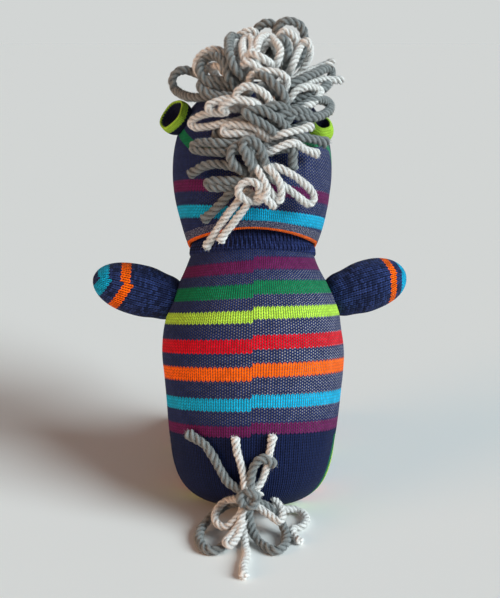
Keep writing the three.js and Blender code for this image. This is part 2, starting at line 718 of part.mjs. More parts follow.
// Grey loops lie on the ground, and white ones over them
const TAIL_LOOPS = [
  ["tail_grey_loop_left", -150, 34, 11, GREY_YARN_RADIUS, -4.5, 0, GREY],
  ["tail_white_loop_left", -172, 22, 8, WHITE_YARN_RADIUS, 0, 8, WHITE],
  ["tail_grey_loop_right", -38, 30, 10, GREY_YARN_RADIUS, -4.5, 0, GREY],
  ["tail_white_loop_right", -14, 31, 10, WHITE_YARN_RADIUS, 0, 6, WHITE],
];
for (const [name, heading, reach, width, radius, rootRise, tipRise, color] of TAIL_LOOPS) {
  const points = bowLoop(heading, reach, width, radius, rootRise, tipRise);
  addStrand(part, name, points, radius, color);
}

// The long white end falls to the ground and runs straight back
const longEnd = evenly(LOOP_POINTS / 2).map((share) => {
  const start = TAIL_KNOT_RADIUS + 3 * KNOT_GAP;
  const fall = 1 - Math.max(1 - share / TAIL_END_FALL, 0) ** 2;
  const floor = WHITE_YARN_RADIUS + FLOOR_GAP;
  const z = knotOnGround.z + (floor - knotOnGround.z) * fall;
  return new THREE.Vector3(-TAIL_END_DRIFT * share, knotOnGround.y - start - TAIL_END_LENGTH * share, z);
});
addStrand(part, "tail_white_end_down", longEnd, WHITE_YARN_RADIUS, WHITE);

export default part;
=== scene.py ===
import bpy
import numpy as np
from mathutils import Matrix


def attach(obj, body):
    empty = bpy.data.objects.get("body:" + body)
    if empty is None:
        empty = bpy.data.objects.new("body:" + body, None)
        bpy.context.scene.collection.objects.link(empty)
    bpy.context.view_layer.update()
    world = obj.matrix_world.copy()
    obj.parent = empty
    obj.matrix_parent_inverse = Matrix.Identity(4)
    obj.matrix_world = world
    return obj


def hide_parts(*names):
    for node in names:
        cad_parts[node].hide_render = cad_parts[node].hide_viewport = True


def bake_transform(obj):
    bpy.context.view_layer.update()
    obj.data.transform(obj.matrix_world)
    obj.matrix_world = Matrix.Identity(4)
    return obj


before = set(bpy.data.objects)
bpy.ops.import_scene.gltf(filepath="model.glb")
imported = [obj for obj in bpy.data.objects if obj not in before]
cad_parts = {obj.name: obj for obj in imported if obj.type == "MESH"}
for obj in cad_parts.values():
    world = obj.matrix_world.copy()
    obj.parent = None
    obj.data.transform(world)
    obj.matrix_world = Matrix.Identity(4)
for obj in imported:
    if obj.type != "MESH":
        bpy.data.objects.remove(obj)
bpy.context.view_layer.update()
scene = bpy.context.scene


# Body: one adult sock, stuffed firm. Its heel is the seat, its leg the back and belly. The sock is
# knitted in a spiral, so every stripe steps up where a round ends, in the middle of the back.
LEAN = np.radians(15)
SEAT_AHEAD, SEAT_LOW = 18.227, 4.31


def stand(points):
    """Torso millimetres to metres in the shared frame: turned about X by the lean, then moved so that the
    flat of the seat lies on the ground and its middle at the origin."""
    x, y, s = np.moveaxis(np.asarray(points, float), -1, 0)
    c, n = np.cos(LEAN), np.sin(LEAN)
    return np.stack([x, y * c + s * n - SEAT_AHEAD, s * c - y * n - SEAT_LOW], -1) / 1000


def full_turn(count):
    """The angles of a closed ring in so many steps, with the first one again at the end."""
    return np.arange(count + 1) / count * 2 * np.pi


def dye(*rgb):
    """A daylight colour, 0 to 255 each, as linear light."""
    share = np.array(rgb) / 255
    return (*np.where(share < 0.04045, share / 12.92, ((share + 0.055) / 1.055) ** 2.4), 1)


class Wire:
    """A shader socket that takes part in plain arithmetic; every step adds a node to its tree."""

    def __init__(self, socket):
        self.socket = socket

    def node(self, kind, inputs, out=0, **settings):
        """Adds any shader node, feeds the named or numbered inputs, and wraps one output."""
        tree = self.socket.id_data
        made = tree.nodes.new("ShaderNode" + kind)
        for name, value in settings.items():
            setattr(made, name, value)
        for key, value in inputs.items():
            if isinstance(value, Wire):
                tree.links.new(value.socket, made.inputs[key])
            else:
                made.inputs[key].default_value = value
        return Wire(made.outputs[out])

    def math(self, operation, *others):
        """One of the Math node's operations on this and the others."""
        return self.node("Math", dict(enumerate((self, *others))), operation=operation)

    def __add__(self, other):
        return self.math("ADD", other)

    def __sub__(self, other):
        return self.math("SUBTRACT", other)

    def __rsub__(self, other):
        return self.node("Math", {0: other, 1: self}, operation="SUBTRACT")

    def __mul__(self, other):
        return self.math("MULTIPLY", other)

    def __truediv__(self, other):
        return self.math("DIVIDE", other)

    def __pow__(self, other):
        return self.math("POWER", other)

    def __abs__(self):
        return self.math("ABSOLUTE")

    __radd__, __rmul__ = __add__, __mul__

    def clamped(self, low=0.0):
        """This, but never under the low value or over 1."""
        return self.node("Clamp", {0: self, 1: low})

    def mixed(self, one, other):
        """One colour where this is 0, the other where it is 1."""
        return self.node("Mix", {0: self, 6: one, 7: other}, out=2, data_type="RGBA")

    def steps(self, stops):
        """Flat bands of colour: each stop is (where it starts, colour), from 0 to 1."""
        ramp = self.node("ValToRGB", {0: self})
        made = ramp.socket.node.color_ramp
        made.interpolation = "CONSTANT"
        for i, (at, colour) in enumerate(stops):
            stop = made.elements[i] if i < 2 else made.elements.new(at)
            stop.position, stop.color = at, colour
        return ramp


def blank(name, roughness, sheen):
    """A new cloth material, and its shader and its tree's UV coordinate as a Wire."""
    made = bpy.data.materials.new(name)
    made.use_nodes = True
    shader = made.node_tree.nodes["Principled BSDF"]
    shader.inputs["Roughness"].default_value = roughness
    shader.inputs["Specular IOR Level"].default_value = 0.1
    shader.inputs["Sheen Weight"].default_value = sheen
    shader.inputs["Sheen Roughness"].default_value = 0.45
    uv = Wire(made.node_tree.nodes.new("ShaderNodeUVMap").outputs[0])
    return made, shader, uv


NAVY = dye(30, 42, 86)
PURPLE, GREEN, LIME = dye(100, 26, 80), dye(6, 118, 76), dye(178, 222, 70)
RED, ORANGE, TURQUOISE = dye(206, 8, 34), dye(252, 102, 10), dye(16, 170, 212)
HEEL, HEEL_GAPE = dye(23, 33, 68), 0.3
# The near-black is painted shade in the holes between stitches; FILLING is the white stuffing seen through
# them.
HOLE_SHADE, FILLING = dye(10, 8, 12), dye(232, 226, 220)
COURSE = 1.5
ROUND_COLUMNS = 112


def knit(name, stripes, reach, pale=0.0, belt=0.09, ground=NAVY, gape=0.0, overlay=None):
    """Plain knit read from a UV of (columns, courses). A stitch is a V of two legs, so the course at a point
    is the UV's course less a slope away from the column's middle. Legs are round, painted with shade at
    their sides and where two courses meet; in a column's middle and between two columns, where two
    courses meet, a hole is left. Through it the filling shows pale in the ground, by the given share, most
    towards +X and near the height of the belt, where the knit is drawn out; towards +X the pale is also
    painted light, on the side the light comes from. In the stripes the holes show mostly painted shade. In
    the heel, and in the ground by the gape, lines of painted shade part the columns; a gape also makes
    stitches uneven in tone. Stripes are (from, to, colour) in millimetres of cloth up to the reach."""
    made, shader, uv = blank(name, 0.92, 0.03)
    place = uv.node("SeparateXYZ", {0: uv}).socket.node.outputs
    column, course = Wire(place[0]), Wire(place[1])
    side = abs(column.math("FRACT") - 0.5) * 2
    gap = abs(side * 2 - 1)
    sloped = course - side * 0.5
    row = sloped.math("FLOOR")
    meet = ((sloped - row) * (2 * np.pi)).math("COSINE") * 0.5 + 0.5
    height = (1 - gap ** 2) * (1 - meet * 0.35)
    band = (course - side * 0.8 + 0.4) * (COURSE / reach)
    stops, depths = [(0, ground)], [(0, (1, 1, 1, 1))]
    for first, last, colour in stripes:
        stops += [(first / reach, colour), (last / reach, ground)]
        seen = 0.0 if colour == HEEL else 0.25
        depths += [(first / reach, (seen, seen, seen, 1)), (last / reach, (1, 1, 1, 1))]
    colour = band.steps(stops)
    if overlay:
        colour = overlay(colour, uv)
    stitch = uv.node("CombineXYZ", {0: column.math("FLOOR"), 1: row})
    tone = uv.node("TexWhiteNoise", {"Vector": stitch}, noise_dimensions="2D")
    spot = uv.node("TexCoord", {}, out="Object")
    patch = uv.node("TexNoise", {"Vector": spot, "Scale": 45.0, "Detail": 2.0})
    fibre = uv.node("TexNoise", {"Vector": uv, "Scale": 2.7, "Detail": 4.0}, noise_dimensions="2D")
    bare = band.steps(depths)
    wider = bare * gape + bare.math("LESS_THAN", 0.1) * HEEL_GAPE
    uneven = bare * (gape * 3) + 0.3
    # Painted shade: the colour darkens at the legs' sides and where courses meet; tone, patch and fibre are
    # random.
    light = (height + 0.4) * ((tone - 0.5) * uneven + 1) * (patch * 0.3 + 0.85) * (fibre * 0.4 + 0.8)
    colour = colour.node("Mix", {0: 1.0, 6: colour, 7: light}, out=2, data_type="RGBA",
                         blend_type="MULTIPLY")
    x, _, z = (Wire(way) for way in spot.node("SeparateXYZ", {0: spot}).socket.node.outputs)
    # Painted light: the filling shows paler towards +X, where the light comes from; near the belt the knit is
    # also drawn out.
    drawn = (x * 14 + 0.6).clamped(0.1) * (1 - ((z - belt) * 18) ** 2).clamped(0.1)
    filled = bare * drawn * pale
    # What shows in a hole: painted shade, or the pale filling by its share.
    inside = filled.mixed(HOLE_SHADE, FILLING)
    across = (gap - 0.4) * 2 + wider * (side * 6 - 3)
    between = (meet - 0.35 + wider) * 2
    hole = across.clamped() * between.clamped()
    thin = hole * (patch * 0.8 + 0.5) * (tone * 0.7 + 0.55)
    colour = thin.clamped().mixed(colour, inside)
    tree = made.node_tree
    tree.links.new(colour.socket, shader.inputs["Base Color"])
    relief = height * 0.9 + fibre * 0.3
    bump = relief.node("Bump", {"Strength": 0.75, "Distance": 0.0006, "Height": relief})
    tree.links.new(bump.socket, shader.inputs["Normal"])
    return made


def skin(name, points, uv, material, caps=()):
    """A cloth surface from a grid of points, rows by columns, in metres. Neighbours make quads, the
    last column joins the first, and each cap closes a row's ring. The UV grid has one more column, so
    that both sides of the seam keep their own values."""
    rows, columns = points.shape[:2]
    number = np.arange(rows * columns).reshape(rows, columns)
    right = np.roll(number, -1, 1)
    quads = np.stack([number[:-1], right[:-1], right[1:], number[1:]], -1).reshape(-1, 4)
    corner = np.stack([uv[:-1, :-1], uv[:-1, 1:], uv[1:, 1:], uv[1:, :-1]], 2).reshape(-1, 2)
    rings = [number[row][:: 1 if row else -1].tolist() for row in caps]
    mesh = bpy.data.meshes.new(name)
    mesh.from_pydata(points.reshape(-1, 3), [], quads.tolist() + rings)
    layer = mesh.uv_layers.new(name="knit")
    flat = np.zeros((len(mesh.loops), 2), np.float32)
    flat[: len(corner)] = corner
    for i, row in enumerate(caps):
        flat[len(corner) + i * columns :][:columns] = uv[row, 0]
    layer.data.foreach_set("uv", flat.ravel())
    mesh.materials.append(material)
    mesh.polygons.foreach_set("use_smooth", np.ones(len(mesh.polygons), bool))
    piece = bpy.data.objects.new(name, mesh)
    scene.collection.objects.link(piece)
    return piece


def measured(piece, name, lengths):
    """Keeps a length for every point of the piece, given in millimetres, as an attribute in metres."""
    made = piece.data.attributes.new(name, "FLOAT", "POINT")
    made.data.foreach_set("value", (lengths / 1000).ravel())


CLOTH_FRAMES = 20
ABOVE_GROUND = 0.0002


def cloth(piece, sewn, limit):
    """Blows the piece up as stuffed cloth for some frames, held where it is sewn. No point moves
    further than the limit in metres, or below the ground. Then the surface is rounded twice."""
    mesh = piece.data
    rest = np.zeros(len(mesh.vertices) * 3)
    mesh.vertices.foreach_get("co", rest)
    rest = rest.reshape(-1, 3)
    piece.vertex_groups.new(name="sewn").add(np.flatnonzero(sewn).tolist(), 1, "REPLACE")
    made = piece.modifiers.new("stuffing", "CLOTH")
    made.settings.quality = 5
    made.settings.mass = 0.002
    made.settings.tension_stiffness = made.settings.compression_stiffness = 6
    made.settings.shear_stiffness = 2
    made.settings.bending_stiffness = 0.05
    made.settings.use_pressure = True
    made.settings.uniform_pressure_force = 4.0
    made.settings.vertex_group_mass = "sewn"
    made.settings.effector_weights.gravity = 0
    made.collision_settings.use_collision = False
    made.point_cache.frame_start, made.point_cache.frame_end = 1, CLOTH_FRAMES
    for step in range(1, CLOTH_FRAMES + 1):
        scene.frame_set(step)
    shaped = piece.evaluated_get(bpy.context.evaluated_depsgraph_get()).data
    moved = np.zeros(len(rest) * 3)
    shaped.vertices.foreach_get("co", moved)
    shift = moved.reshape(-1, 3) - rest
    far = np.linalg.norm(shift, axis=1, keepdims=True)
    rest = rest + shift * np.minimum(1, limit / np.maximum(far, 1e-9))
    piece.modifiers.clear()
    piece.vertex_groups.clear()
    scene.frame_set(1)
    rest[:, 2] = np.maximum(rest[:, 2], ABOVE_GROUND)
    mesh.vertices.foreach_set("co", rest.ravel())
    rounded = piece.modifiers.new("rounded", "SUBSURF")
    rounded.levels = rounded.render_levels = 2
    whole = bpy.data.meshes.new_from_object(piece.evaluated_get(bpy.context.evaluated_depsgraph_get()))
    piece.modifiers.clear()
    piece.data = whole
    return piece


SEAT, BELLY, NECK, BODY_TOP = 3, 84, 141, 147
BELLY_RADIUS, NECK_RADIUS, BODY_DEPTH = 50, 33.4, 0.88


def body_radius(s):
    """Up to the belly a tapering seat with a round corner, above it shoulders drawn in to the neck, which
    narrows a little under the head."""
    down = np.clip((BELLY - s) / (BELLY - SEAT), 0, 1)
    up = np.clip((s - BELLY) / (NECK - BELLY), 0, 1)
    low = BELLY_RADIUS * (1 - 0.15 * down) * np.cbrt(1 - down**8)
    high = NECK_RADIUS + (BELLY_RADIUS - NECK_RADIUS) * (1 - up**2.2) ** 1.5
    return np.where(s < BELLY, low, high - 0.4 * np.clip(s - NECK, 0, 6))


def along(radius, height, step):
    """Places evenly along an outline: their radius, height and distance from its start."""
    run = np.concatenate([[0], np.cumsum(np.hypot(np.diff(radius), np.diff(height)))])
    even = np.linspace(0, run[-1], round(run[-1] / step) + 1)
    return np.interp(even, run, radius), np.interp(even, run, height), even


PIECE_SIDES = 64
TAIL_AT, SHOULDER_AT = 17, 116
s = BELLY - (BELLY - SEAT) * np.cos(np.linspace(0, 1, 400) ** 0.8 * np.pi / 2)
s = np.concatenate([s, np.linspace(BELLY, BODY_TOP, 200)[1:]])
radius, height, run = along(np.where(s < SEAT + 0.01, 0.4, body_radius(s)), s, 4.4)
turn = full_turn(PIECE_SIDES)
seam = (-0.014 + 0.0004 * (height - 60))[:, None]
angle = turn[None] + seam * (np.cos(turn)[None] + 1) / 2
level = np.broadcast_to(height[:, None], angle.shape)
from_back = angle - 2 * np.pi * (angle > np.pi)
dent = 1 - 0.035 * np.exp(-((level - TAIL_AT) / 7) ** 2 - (from_back / 0.2) ** 2)
lump = 1 + 0.006 * np.sin(3 * angle + level / 19) + 0.005 * np.sin(5 * angle - level / 13)
fuller = np.exp(-((level - SHOULDER_AT) / 11) ** 2) * np.clip(np.sin(angle), 0, 1) ** 2
ring = radius[:, None] * dent * lump * (1 + 0.055 * fuller)
grid = np.stack([ring * np.sin(angle), -BODY_DEPTH * ring * np.cos(angle), level], -1)
points = stand(grid[:, :-1])
points[..., 2] = np.maximum(points[..., 2], 0)
step_up = np.interp(turn, np.arange(5) * np.pi / 2, (1.9, 0.4, -1.0, -2.4, 0.0))
to_right = np.interp(height, (46, 62, 80, 106, 120, 132), (-1.0, 0.2, 1.3, 2.2, 1.5, 0.8))[:, None]
to_left = np.interp(height, (100, 118, 134), (0, -1.3, -1.8))[:, None]
pulled = to_right * np.clip(np.sin(turn), 0, 1) + to_left * np.clip(-np.sin(turn), 0, 1)
courses = (run[:, None] - step_up[None] - pulled) / COURSE
columns = np.broadcast_to(turn[None] / (2 * np.pi) * ROUND_COLUMNS, courses.shape)
HEEL_TOP = 45.7
body_stripes = [(0, np.interp(HEEL_TOP, height, run) - 0.2, HEEL)] + [
    (*np.interp(span, height, run), colour)
    for span, colour in [
        ((HEEL_TOP, 51.6), PURPLE), ((58.9, 65.6), TURQUOISE), ((74.2, 81.6), ORANGE), ((88.2, 95.3), RED),
        ((103.5, 109.8), LIME), ((116.1, 123.7), GREEN), ((129.3, 135.7), PURPLE),
    ]
]


def foot_bands(colour, uv):
    """In front of the heel the rounds of the foot begin: bands by the distance ahead of the heel's edge."""
    ahead = uv.node("Attribute", {}, out=2, attribute_name="foot")
    reach, rounds = 60, [(0, NAVY)]
    for first, last, dyed in (
        (0.1, 2.8, GREEN), (3.8, 9, LIME), (12, 18, RED), (22, 28, ORANGE), (33, 39, TURQUOISE),
    ):
        rounds += [(first / reach, dyed), (last / reach, NAVY)]
    return ahead.math("GREATER_THAN", 0.0).mixed(colour, (ahead / (reach / 1000)).steps(rounds))


body = skin("body_knit", points, np.stack([columns, courses], -1),
            knit("body_knit", body_stripes, 180, 0.85, overlay=foot_bands), caps=(0, len(points) - 1))
foot = grid[..., 1] + 5 + 0.175 * grid[..., 0] - 0.17 * (grid[..., 2] - 35)
measured(body, "foot", np.minimum(foot, 3 * (44 - grid[..., 2]))[:, :-1])
sewn = np.zeros(grid[:, :-1].shape[:2], bool)
sewn[-2:] = True
sewn |= points[..., 2] < 0.002
sewn |= (dent < 0.985)[:, :-1]
cloth(body, sewn.ravel(), 0.002)
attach(body, "torso")
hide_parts("body_sock", "body_stuffing", "neck_stuffing")


# Cuff: the sock's ribbed top, standing as a neck between the shoulders and the head's hem. Its ribs
# lean a little, and a fold runs round where the cuff meets the body.
RIBS, CUFF_RADIUS, FOLD_AT = 84, 34.1, 140
turn = full_turn(600)
height = np.linspace(136.5, 156, 27)[:, None]
fold = np.clip((height - FOLD_AT + 3.5 * (1 - np.cos(turn))) / 2.5, 0, 1)
gather = np.clip((height - BODY_TOP) / 9, 0, 1)
rib = np.cos(RIBS * (turn + (height - FOLD_AT) * 0.006))
ring = CUFF_RADIUS - 0.3 * np.clip(height - FOLD_AT, 0, 7) - 1.8 * (1 - fold) - 4 * gather**1.5
ring = ring + 0.55 * fold * np.clip(rib + 0.25, -1, 1)
ring = ring + 0.5 * np.exp(-((height - 142.5) / 1.6) ** 2)
level = np.broadcast_to(height, ring.shape)
grid = np.stack([ring * np.sin(turn), -BODY_DEPTH * ring * np.cos(turn), level], -1)
uv = np.stack(np.broadcast_arrays(turn / (2 * np.pi) * RIBS, height / COURSE), -1)
cuff = skin("neck_cuff", stand(grid[:, :-1]), uv,
            knit("cuff_knit", [], 200, ground=dye(36, 46, 88), gape=0.12))
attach(cuff, "torso")


# Head: a piece of the second sock, stuffed, its hem turned under so that an orange edge and a band of
# heathered knit show. The hem rises at the back and dips at the sides and in front; the stripes run
# aslant.
HEM, CHEEK, HEAD_HIGH = 147.4, 186, 46.7
HEM_RADIUS, CHEEK_RADIUS, HEAD_DEPTH = 35.8, 43.4, 0.956


def head_radius(s):
    """A jaw widening from the hem to the cheeks as a parabola, then a dome like a squarish ellipse."""
    jaw = CHEEK_RADIUS - (CHEEK_RADIUS - HEM_RADIUS) * (np.clip(CHEEK - s, 0, None) / (CHEEK - HEM)) ** 2
    up = np.clip((s - CHEEK) / HEAD_HIGH, 0, 1)
    return np.where(s < CHEEK, jaw, CHEEK_RADIUS * (1 - up**2.3) ** (1 / 2.3))


dome = CHEEK + HEAD_HIGH * np.sin(np.linspace(0, np.pi / 2, 300))
s = np.concatenate([np.linspace(HEM, CHEEK, 100), dome[1:]])
radius, height, run = along(np.maximum(head_radius(s), 0.4), s, 4.2)
turn = full_turn(PIECE_SIDES)
front = np.clip(-np.cos(turn), 0, 1) ** 0.6
dip = 4.6 * np.clip(np.cos(turn), 0, 1) ** 2 - 2.2 * np.sin(turn) ** 2 - 7.5 * front
rise = dip * np.clip(1 - run / 34, 0, 1)[:, None] ** 1.5
level = height[:, None]
lump = 1 + 0.006 * np.sin(3 * turn + level / 15) + 0.004 * np.sin(7 * turn - level / 9)
flare = 1 - 0.013 * (1 + np.sin(turn)) * np.exp(-run / 6)[:, None]
ring = radius[:, None] * lump * flare
grid = np.stack([ring * np.sin(turn), -HEAD_DEPTH * ring * np.cos(turn), level + rise], -1)
TURNED_UNDER = [(-3.4, 5.0), (-2.8, 1.2), (-1.6, -0.6)]
lips = []
for inward, lift in TURNED_UNDER:
    lip = grid[0].copy()
    lip[:, :2] *= 1 + inward / 36
    lip[:, 2] += lift
    lips.append(lip)
grid = np.concatenate([np.stack(lips), grid])
hem = np.concatenate([[-6.5, -2.6, -0.8], run])
aslant = 0.085 * grid[..., 0] * np.interp(hem, (0, 36, 48), (1, 1, 0))[:, None]
from_hem = np.concatenate([np.full(len(lips), -1.0), run])[:, None]
climb = np.concatenate([np.zeros((len(lips), len(turn))), rise])
BELOW_HEM = 12
courses = (from_hem + climb + aslant + BELOW_HEM) / COURSE
columns = np.broadcast_to(turn[None] / (2 * np.pi) * ROUND_COLUMNS, courses.shape)


def hem_bands(colour, uv):
    """A green stripe along its own line over the head. Orange on the hem's very edge and inside it, then
    heathered grey, read from the distance to the hem."""
    stripe = uv.node("Attribute", {}, out=2, attribute_name="crown")
    colour = abs(stripe).math("LESS_THAN", 0.0031).mixed(colour, GREEN)
    edge = uv.node("Attribute", {}, out=2, attribute_name="hem")
    speck = uv.node("TexNoise", {"Vector": uv, "Scale": 2.6, "Detail": 2.0}, noise_dimensions="2D")
    heather = ((speck - 0.45) * 5).mixed(dye(36, 40, 78), dye(132, 132, 148))
    colour = edge.math("LESS_THAN", 0.0052).mixed(colour, heather)
    return edge.math("LESS_THAN", 0.0007).mixed(colour, ORANGE)


head_stripes = [(20.6, 26.8, TURQUOISE), (34.2, 40.2, PURPLE)]
head = skin("head_knit", stand(grid[:, :-1]), np.stack([columns, courses], -1),
            knit("head_knit", head_stripes, 140, 0.4, belt=0.18, overlay=hem_bands), caps=(len(grid) - 1,))
measured(head, "hem", np.repeat(hem, PIECE_SIDES))
crown = np.interp(turn, np.radians((0, 30, 62, 74, 84, 92, 130, 180, 268, 285, 300, 315, 360)),
                  (194, 195, 199, 197, 186, 176, 176, 196, 208, 207, 201, 194, 194))
measured(head, "crown", (grid[..., 2] - crown)[:, :-1])
sewn = np.zeros(grid[:, :-1].shape[:2], bool)
sewn[:5] = True
cloth(head, sewn.ravel(), 0.002)
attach(head, "head")
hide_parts("head_sock", "head_stuffing")


# Arms: tapering tubes of sock, stuffed and sewn to the shoulders. Bands cross near the end, and the
# seam up the back leaves them a little out of step.
def limb(name, start, axis, lengths, bands, shifts):
    """Round tube about an axis: a ball at the root, a swell, then an end like a blunt ellipse. The seam
    is the line that looks backwards. Bands are measured from the tip along the axis at the seam, and
    shifts moves them towards the root, at each quarter turn from one side of the seam to the other."""
    root, wide, swell, length = lengths
    t = np.concatenate([np.linspace(-root, 0, 60)[5:], np.linspace(0, swell, 40)[1:],
                        swell + (length - swell) * np.sin(np.linspace(0, np.pi / 2, 200))[1:]])
    rise = np.sin(np.clip(t / swell, 0, 1) * np.pi / 2) ** 2
    end = np.clip((t - swell) / (length - swell), 0, 1)
    r = np.where(t < 0, np.sqrt(np.maximum(root**2 - t**2, 0)), root + (wide - root) * rise)
    r = np.maximum(r * np.sqrt(1 - end**2.5), 0.25)
    r, t, run = along(r, t, 3.2)
    turn = full_turn(28)
    back = np.array([0, -1.0, 0.2])
    back = back - axis * (back @ axis)
    back /= np.linalg.norm(back)
    side = np.cross(axis, back)
    ring = r[:, None] * (1 + 0.012 * np.sin(3 * turn + run[:, None] / 6))
    spot = np.asarray(start) + t[:, None, None] * axis
    grid = spot + ring[..., None] * (np.cos(turn)[:, None] * back + np.sin(turn)[:, None] * side)
    points = stand(grid[:, :-1])
    points[..., 2] = np.maximum(points[..., 2], ABOVE_GROUND)
    slant = np.interp(turn, np.arange(5) * np.pi / 2, shifts)
    sewn_in = 8
    uv = np.stack(np.broadcast_arrays(turn / (2 * np.pi) * 32, (run[:, None] + slant + sewn_in) / COURSE), -1)
    stripes = [(*(np.interp((length - last, length - first), t, run) + sewn_in), colour)
               for first, last, colour in reversed(bands)]
    woven = knit(name, stripes, run[-1] + 18, ground=dye(38, 52, 96), gape=0.3)
    piece = skin(name, points, uv, woven, caps=(0, len(points) - 1))
    held = np.zeros(points.shape[:2], bool)
    held[:5] = True
    held |= points[..., 2] < 0.001
    cloth(piece, held.ravel(), 0.0012)
    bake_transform(piece)
    return piece


for name, side, raised, length, bands, shifts in (
    ("left", -1, 15.5, 40.5, [(2.5, 8.5, TURQUOISE), (15.2, 20.6, ORANGE)], (1.6, -3.2, -4.5, -3.7, 4.0)),
    ("right", 1, 18.2, 36, [(0.2, 3.2, TURQUOISE), (6.4, 9.8, ORANGE)], (0, 5.5, 5, 2.1, -0.6)),
):
    axis = np.array([side * np.cos(np.radians(raised)), 0, np.sin(np.radians(raised))])
    start = np.array([side * (body_radius(SHOULDER_AT) + 5.7 + side * 0.7), 0, SHOULDER_AT + 1 + side])
    arm = limb(f"{name}_arm_knit", start, axis, (12.5, 14.2, 11, length), bands, shifts)
    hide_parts(f"{name}_arm_sock", f"{name}_arm_stuffing")


# Legs: the sock's foot, cut in two and stuffed, lying on the ground in front of the seat. Only their
# sides can be seen from behind; the stripes go on where the heel ends.
def lying(points):
    """Millimetres of the shared frame to torso millimetres, for what lies on the ground."""
    x, y, z = np.moveaxis(np.asarray(points, float), -1, 0)
    y, z = y + SEAT_AHEAD, z + SEAT_LOW
    c, n = np.cos(LEAN), np.sin(LEAN)
    return np.stack([x, y * c - z * n, y * n + z * c], -1)


SPREAD = np.radians(8)
for name, side in (("left", -1), ("right", 1)):
    axis = np.array([side * np.sin(SPREAD), np.cos(SPREAD) * np.cos(LEAN), np.cos(SPREAD) * np.sin(LEAN)])
    start = lying((side * 25, 24.8, 14.4))
    bands = [(9.0, 15.0, ORANGE), (22.5, 28.5, RED), (36.0, 42.0, LIME), (49.5, 55.5, GREEN)]
    leg = limb(f"{name}_leg_knit", start, axis, (14, 15.2, 18, 62), bands, (0,) * 5)
    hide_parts(f"{name}_leg_sock", f"{name}_leg_stuffing")


# Ears: small pods of sock, their lime stripe folded over the mouth and navy inside, sewn on by the base.
# The left one stands out from the head, and the right one lies closer to it.
def ear(name, centre, facing, radius, mouth, deep, body):
    """A pot turned about the way it faces: from a narrow base round its belly to the mouth, a share of
    the radius, over a thin rolled edge and down into a hollow. The lime runs so deep below
    the mouth and over its edge."""
    facing = np.array(facing) / np.linalg.norm(facing)
    level = np.cross(facing, [0.2, 0.1, 1])
    level /= np.linalg.norm(level)
    across = np.cross(facing, level)
    swing = np.linspace(-1.25, np.arccos(mouth), 16)
    belly = np.stack([np.cos(swing), np.sin(swing)], -1)
    edge = np.linspace(0, np.pi, 6)[1:, None]
    roll = belly[-1] + 0.07 * np.concatenate([np.cos(edge) - 1, np.sin(edge)], -1)
    inward = np.linspace(1, 0.06, 9)[1:]
    hollow = np.stack([roll[-1, 0] * inward, roll[-1, 1] - 0.75 * (1 - inward**2)], -1)
    profile = np.concatenate([belly, roll, hollow])
    run = np.concatenate([[0], np.cumsum(np.hypot(*np.diff(profile, axis=0).T))]) * radius
    turn = full_turn(40)
    uneven = 1 + 0.04 * np.sin(2 * turn + 0.6) + 0.03 * np.sin(5 * turn)
    around = np.cos(turn)[:, None] * level + np.sin(turn)[:, None] * across
    outward, forward = profile[:, :1, None], profile[:, 1:, None]
    grid = np.array(centre) + radius * (outward * around * uneven[:, None] + forward * facing)
    uv = np.stack(np.broadcast_arrays(turn / (2 * np.pi) * 28, run[:, None] / COURSE), -1)
    lime = (run[len(belly) - 1] - deep, run[len(belly) + len(roll) - 1], LIME)
    piece = skin(name, stand(grid[:, :-1]), uv, knit(name, [lime], run[-1] + 2, ground=dye(28, 30, 58)),
                 caps=(0, len(grid) - 1))
    rounded = piece.modifiers.new("rounded", "SUBSURF")
    rounded.levels = rounded.render_levels = 1
    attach(piece, body)
    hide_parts(body)


ear("left_ear_pod", (-41, -13.5, 212), (-0.67, -0.576, 0.4), 9.3, 0.95, 3.2, "left_ear")
ear("right_ear_pod", (34.5, -23.5, 203.5), (0.25, -0.8, 0.5), 7.6, 0.62, 9, "right_ear")


# Muzzle: a padded dome of sock on the front of the head, sewn down all round with small stitches, and
# with nostrils and a mouth stitched in white cotton.
MUZZLE_AT, MUZZLE_WIDE, MUZZLE_HIGH, MUZZLE_TIP = 175, 27, 20, 63.5
PUFF = 0.85


def on_muzzle(x, s):
    """A dome over an oval: from its edge, which lies just inside the head, it rises to the tip like a
    squarish ellipse of the share of the way out from the oval's middle."""
    across, up = x / MUZZLE_WIDE, (s - MUZZLE_AT) / MUZZLE_HIGH
    out = np.maximum(np.hypot(across, up), 1e-6)
    head = head_radius(MUZZLE_AT + MUZZLE_HIGH * up / out)
    seat = HEAD_DEPTH * np.sqrt(head**2 - (MUZZLE_WIDE * across / out) ** 2) - 1
    bulge = np.sqrt(np.maximum(1 - out ** (2 / PUFF), 0))
    return np.stack([x, seat * (1 - bulge) + MUZZLE_TIP * bulge, s], -1)


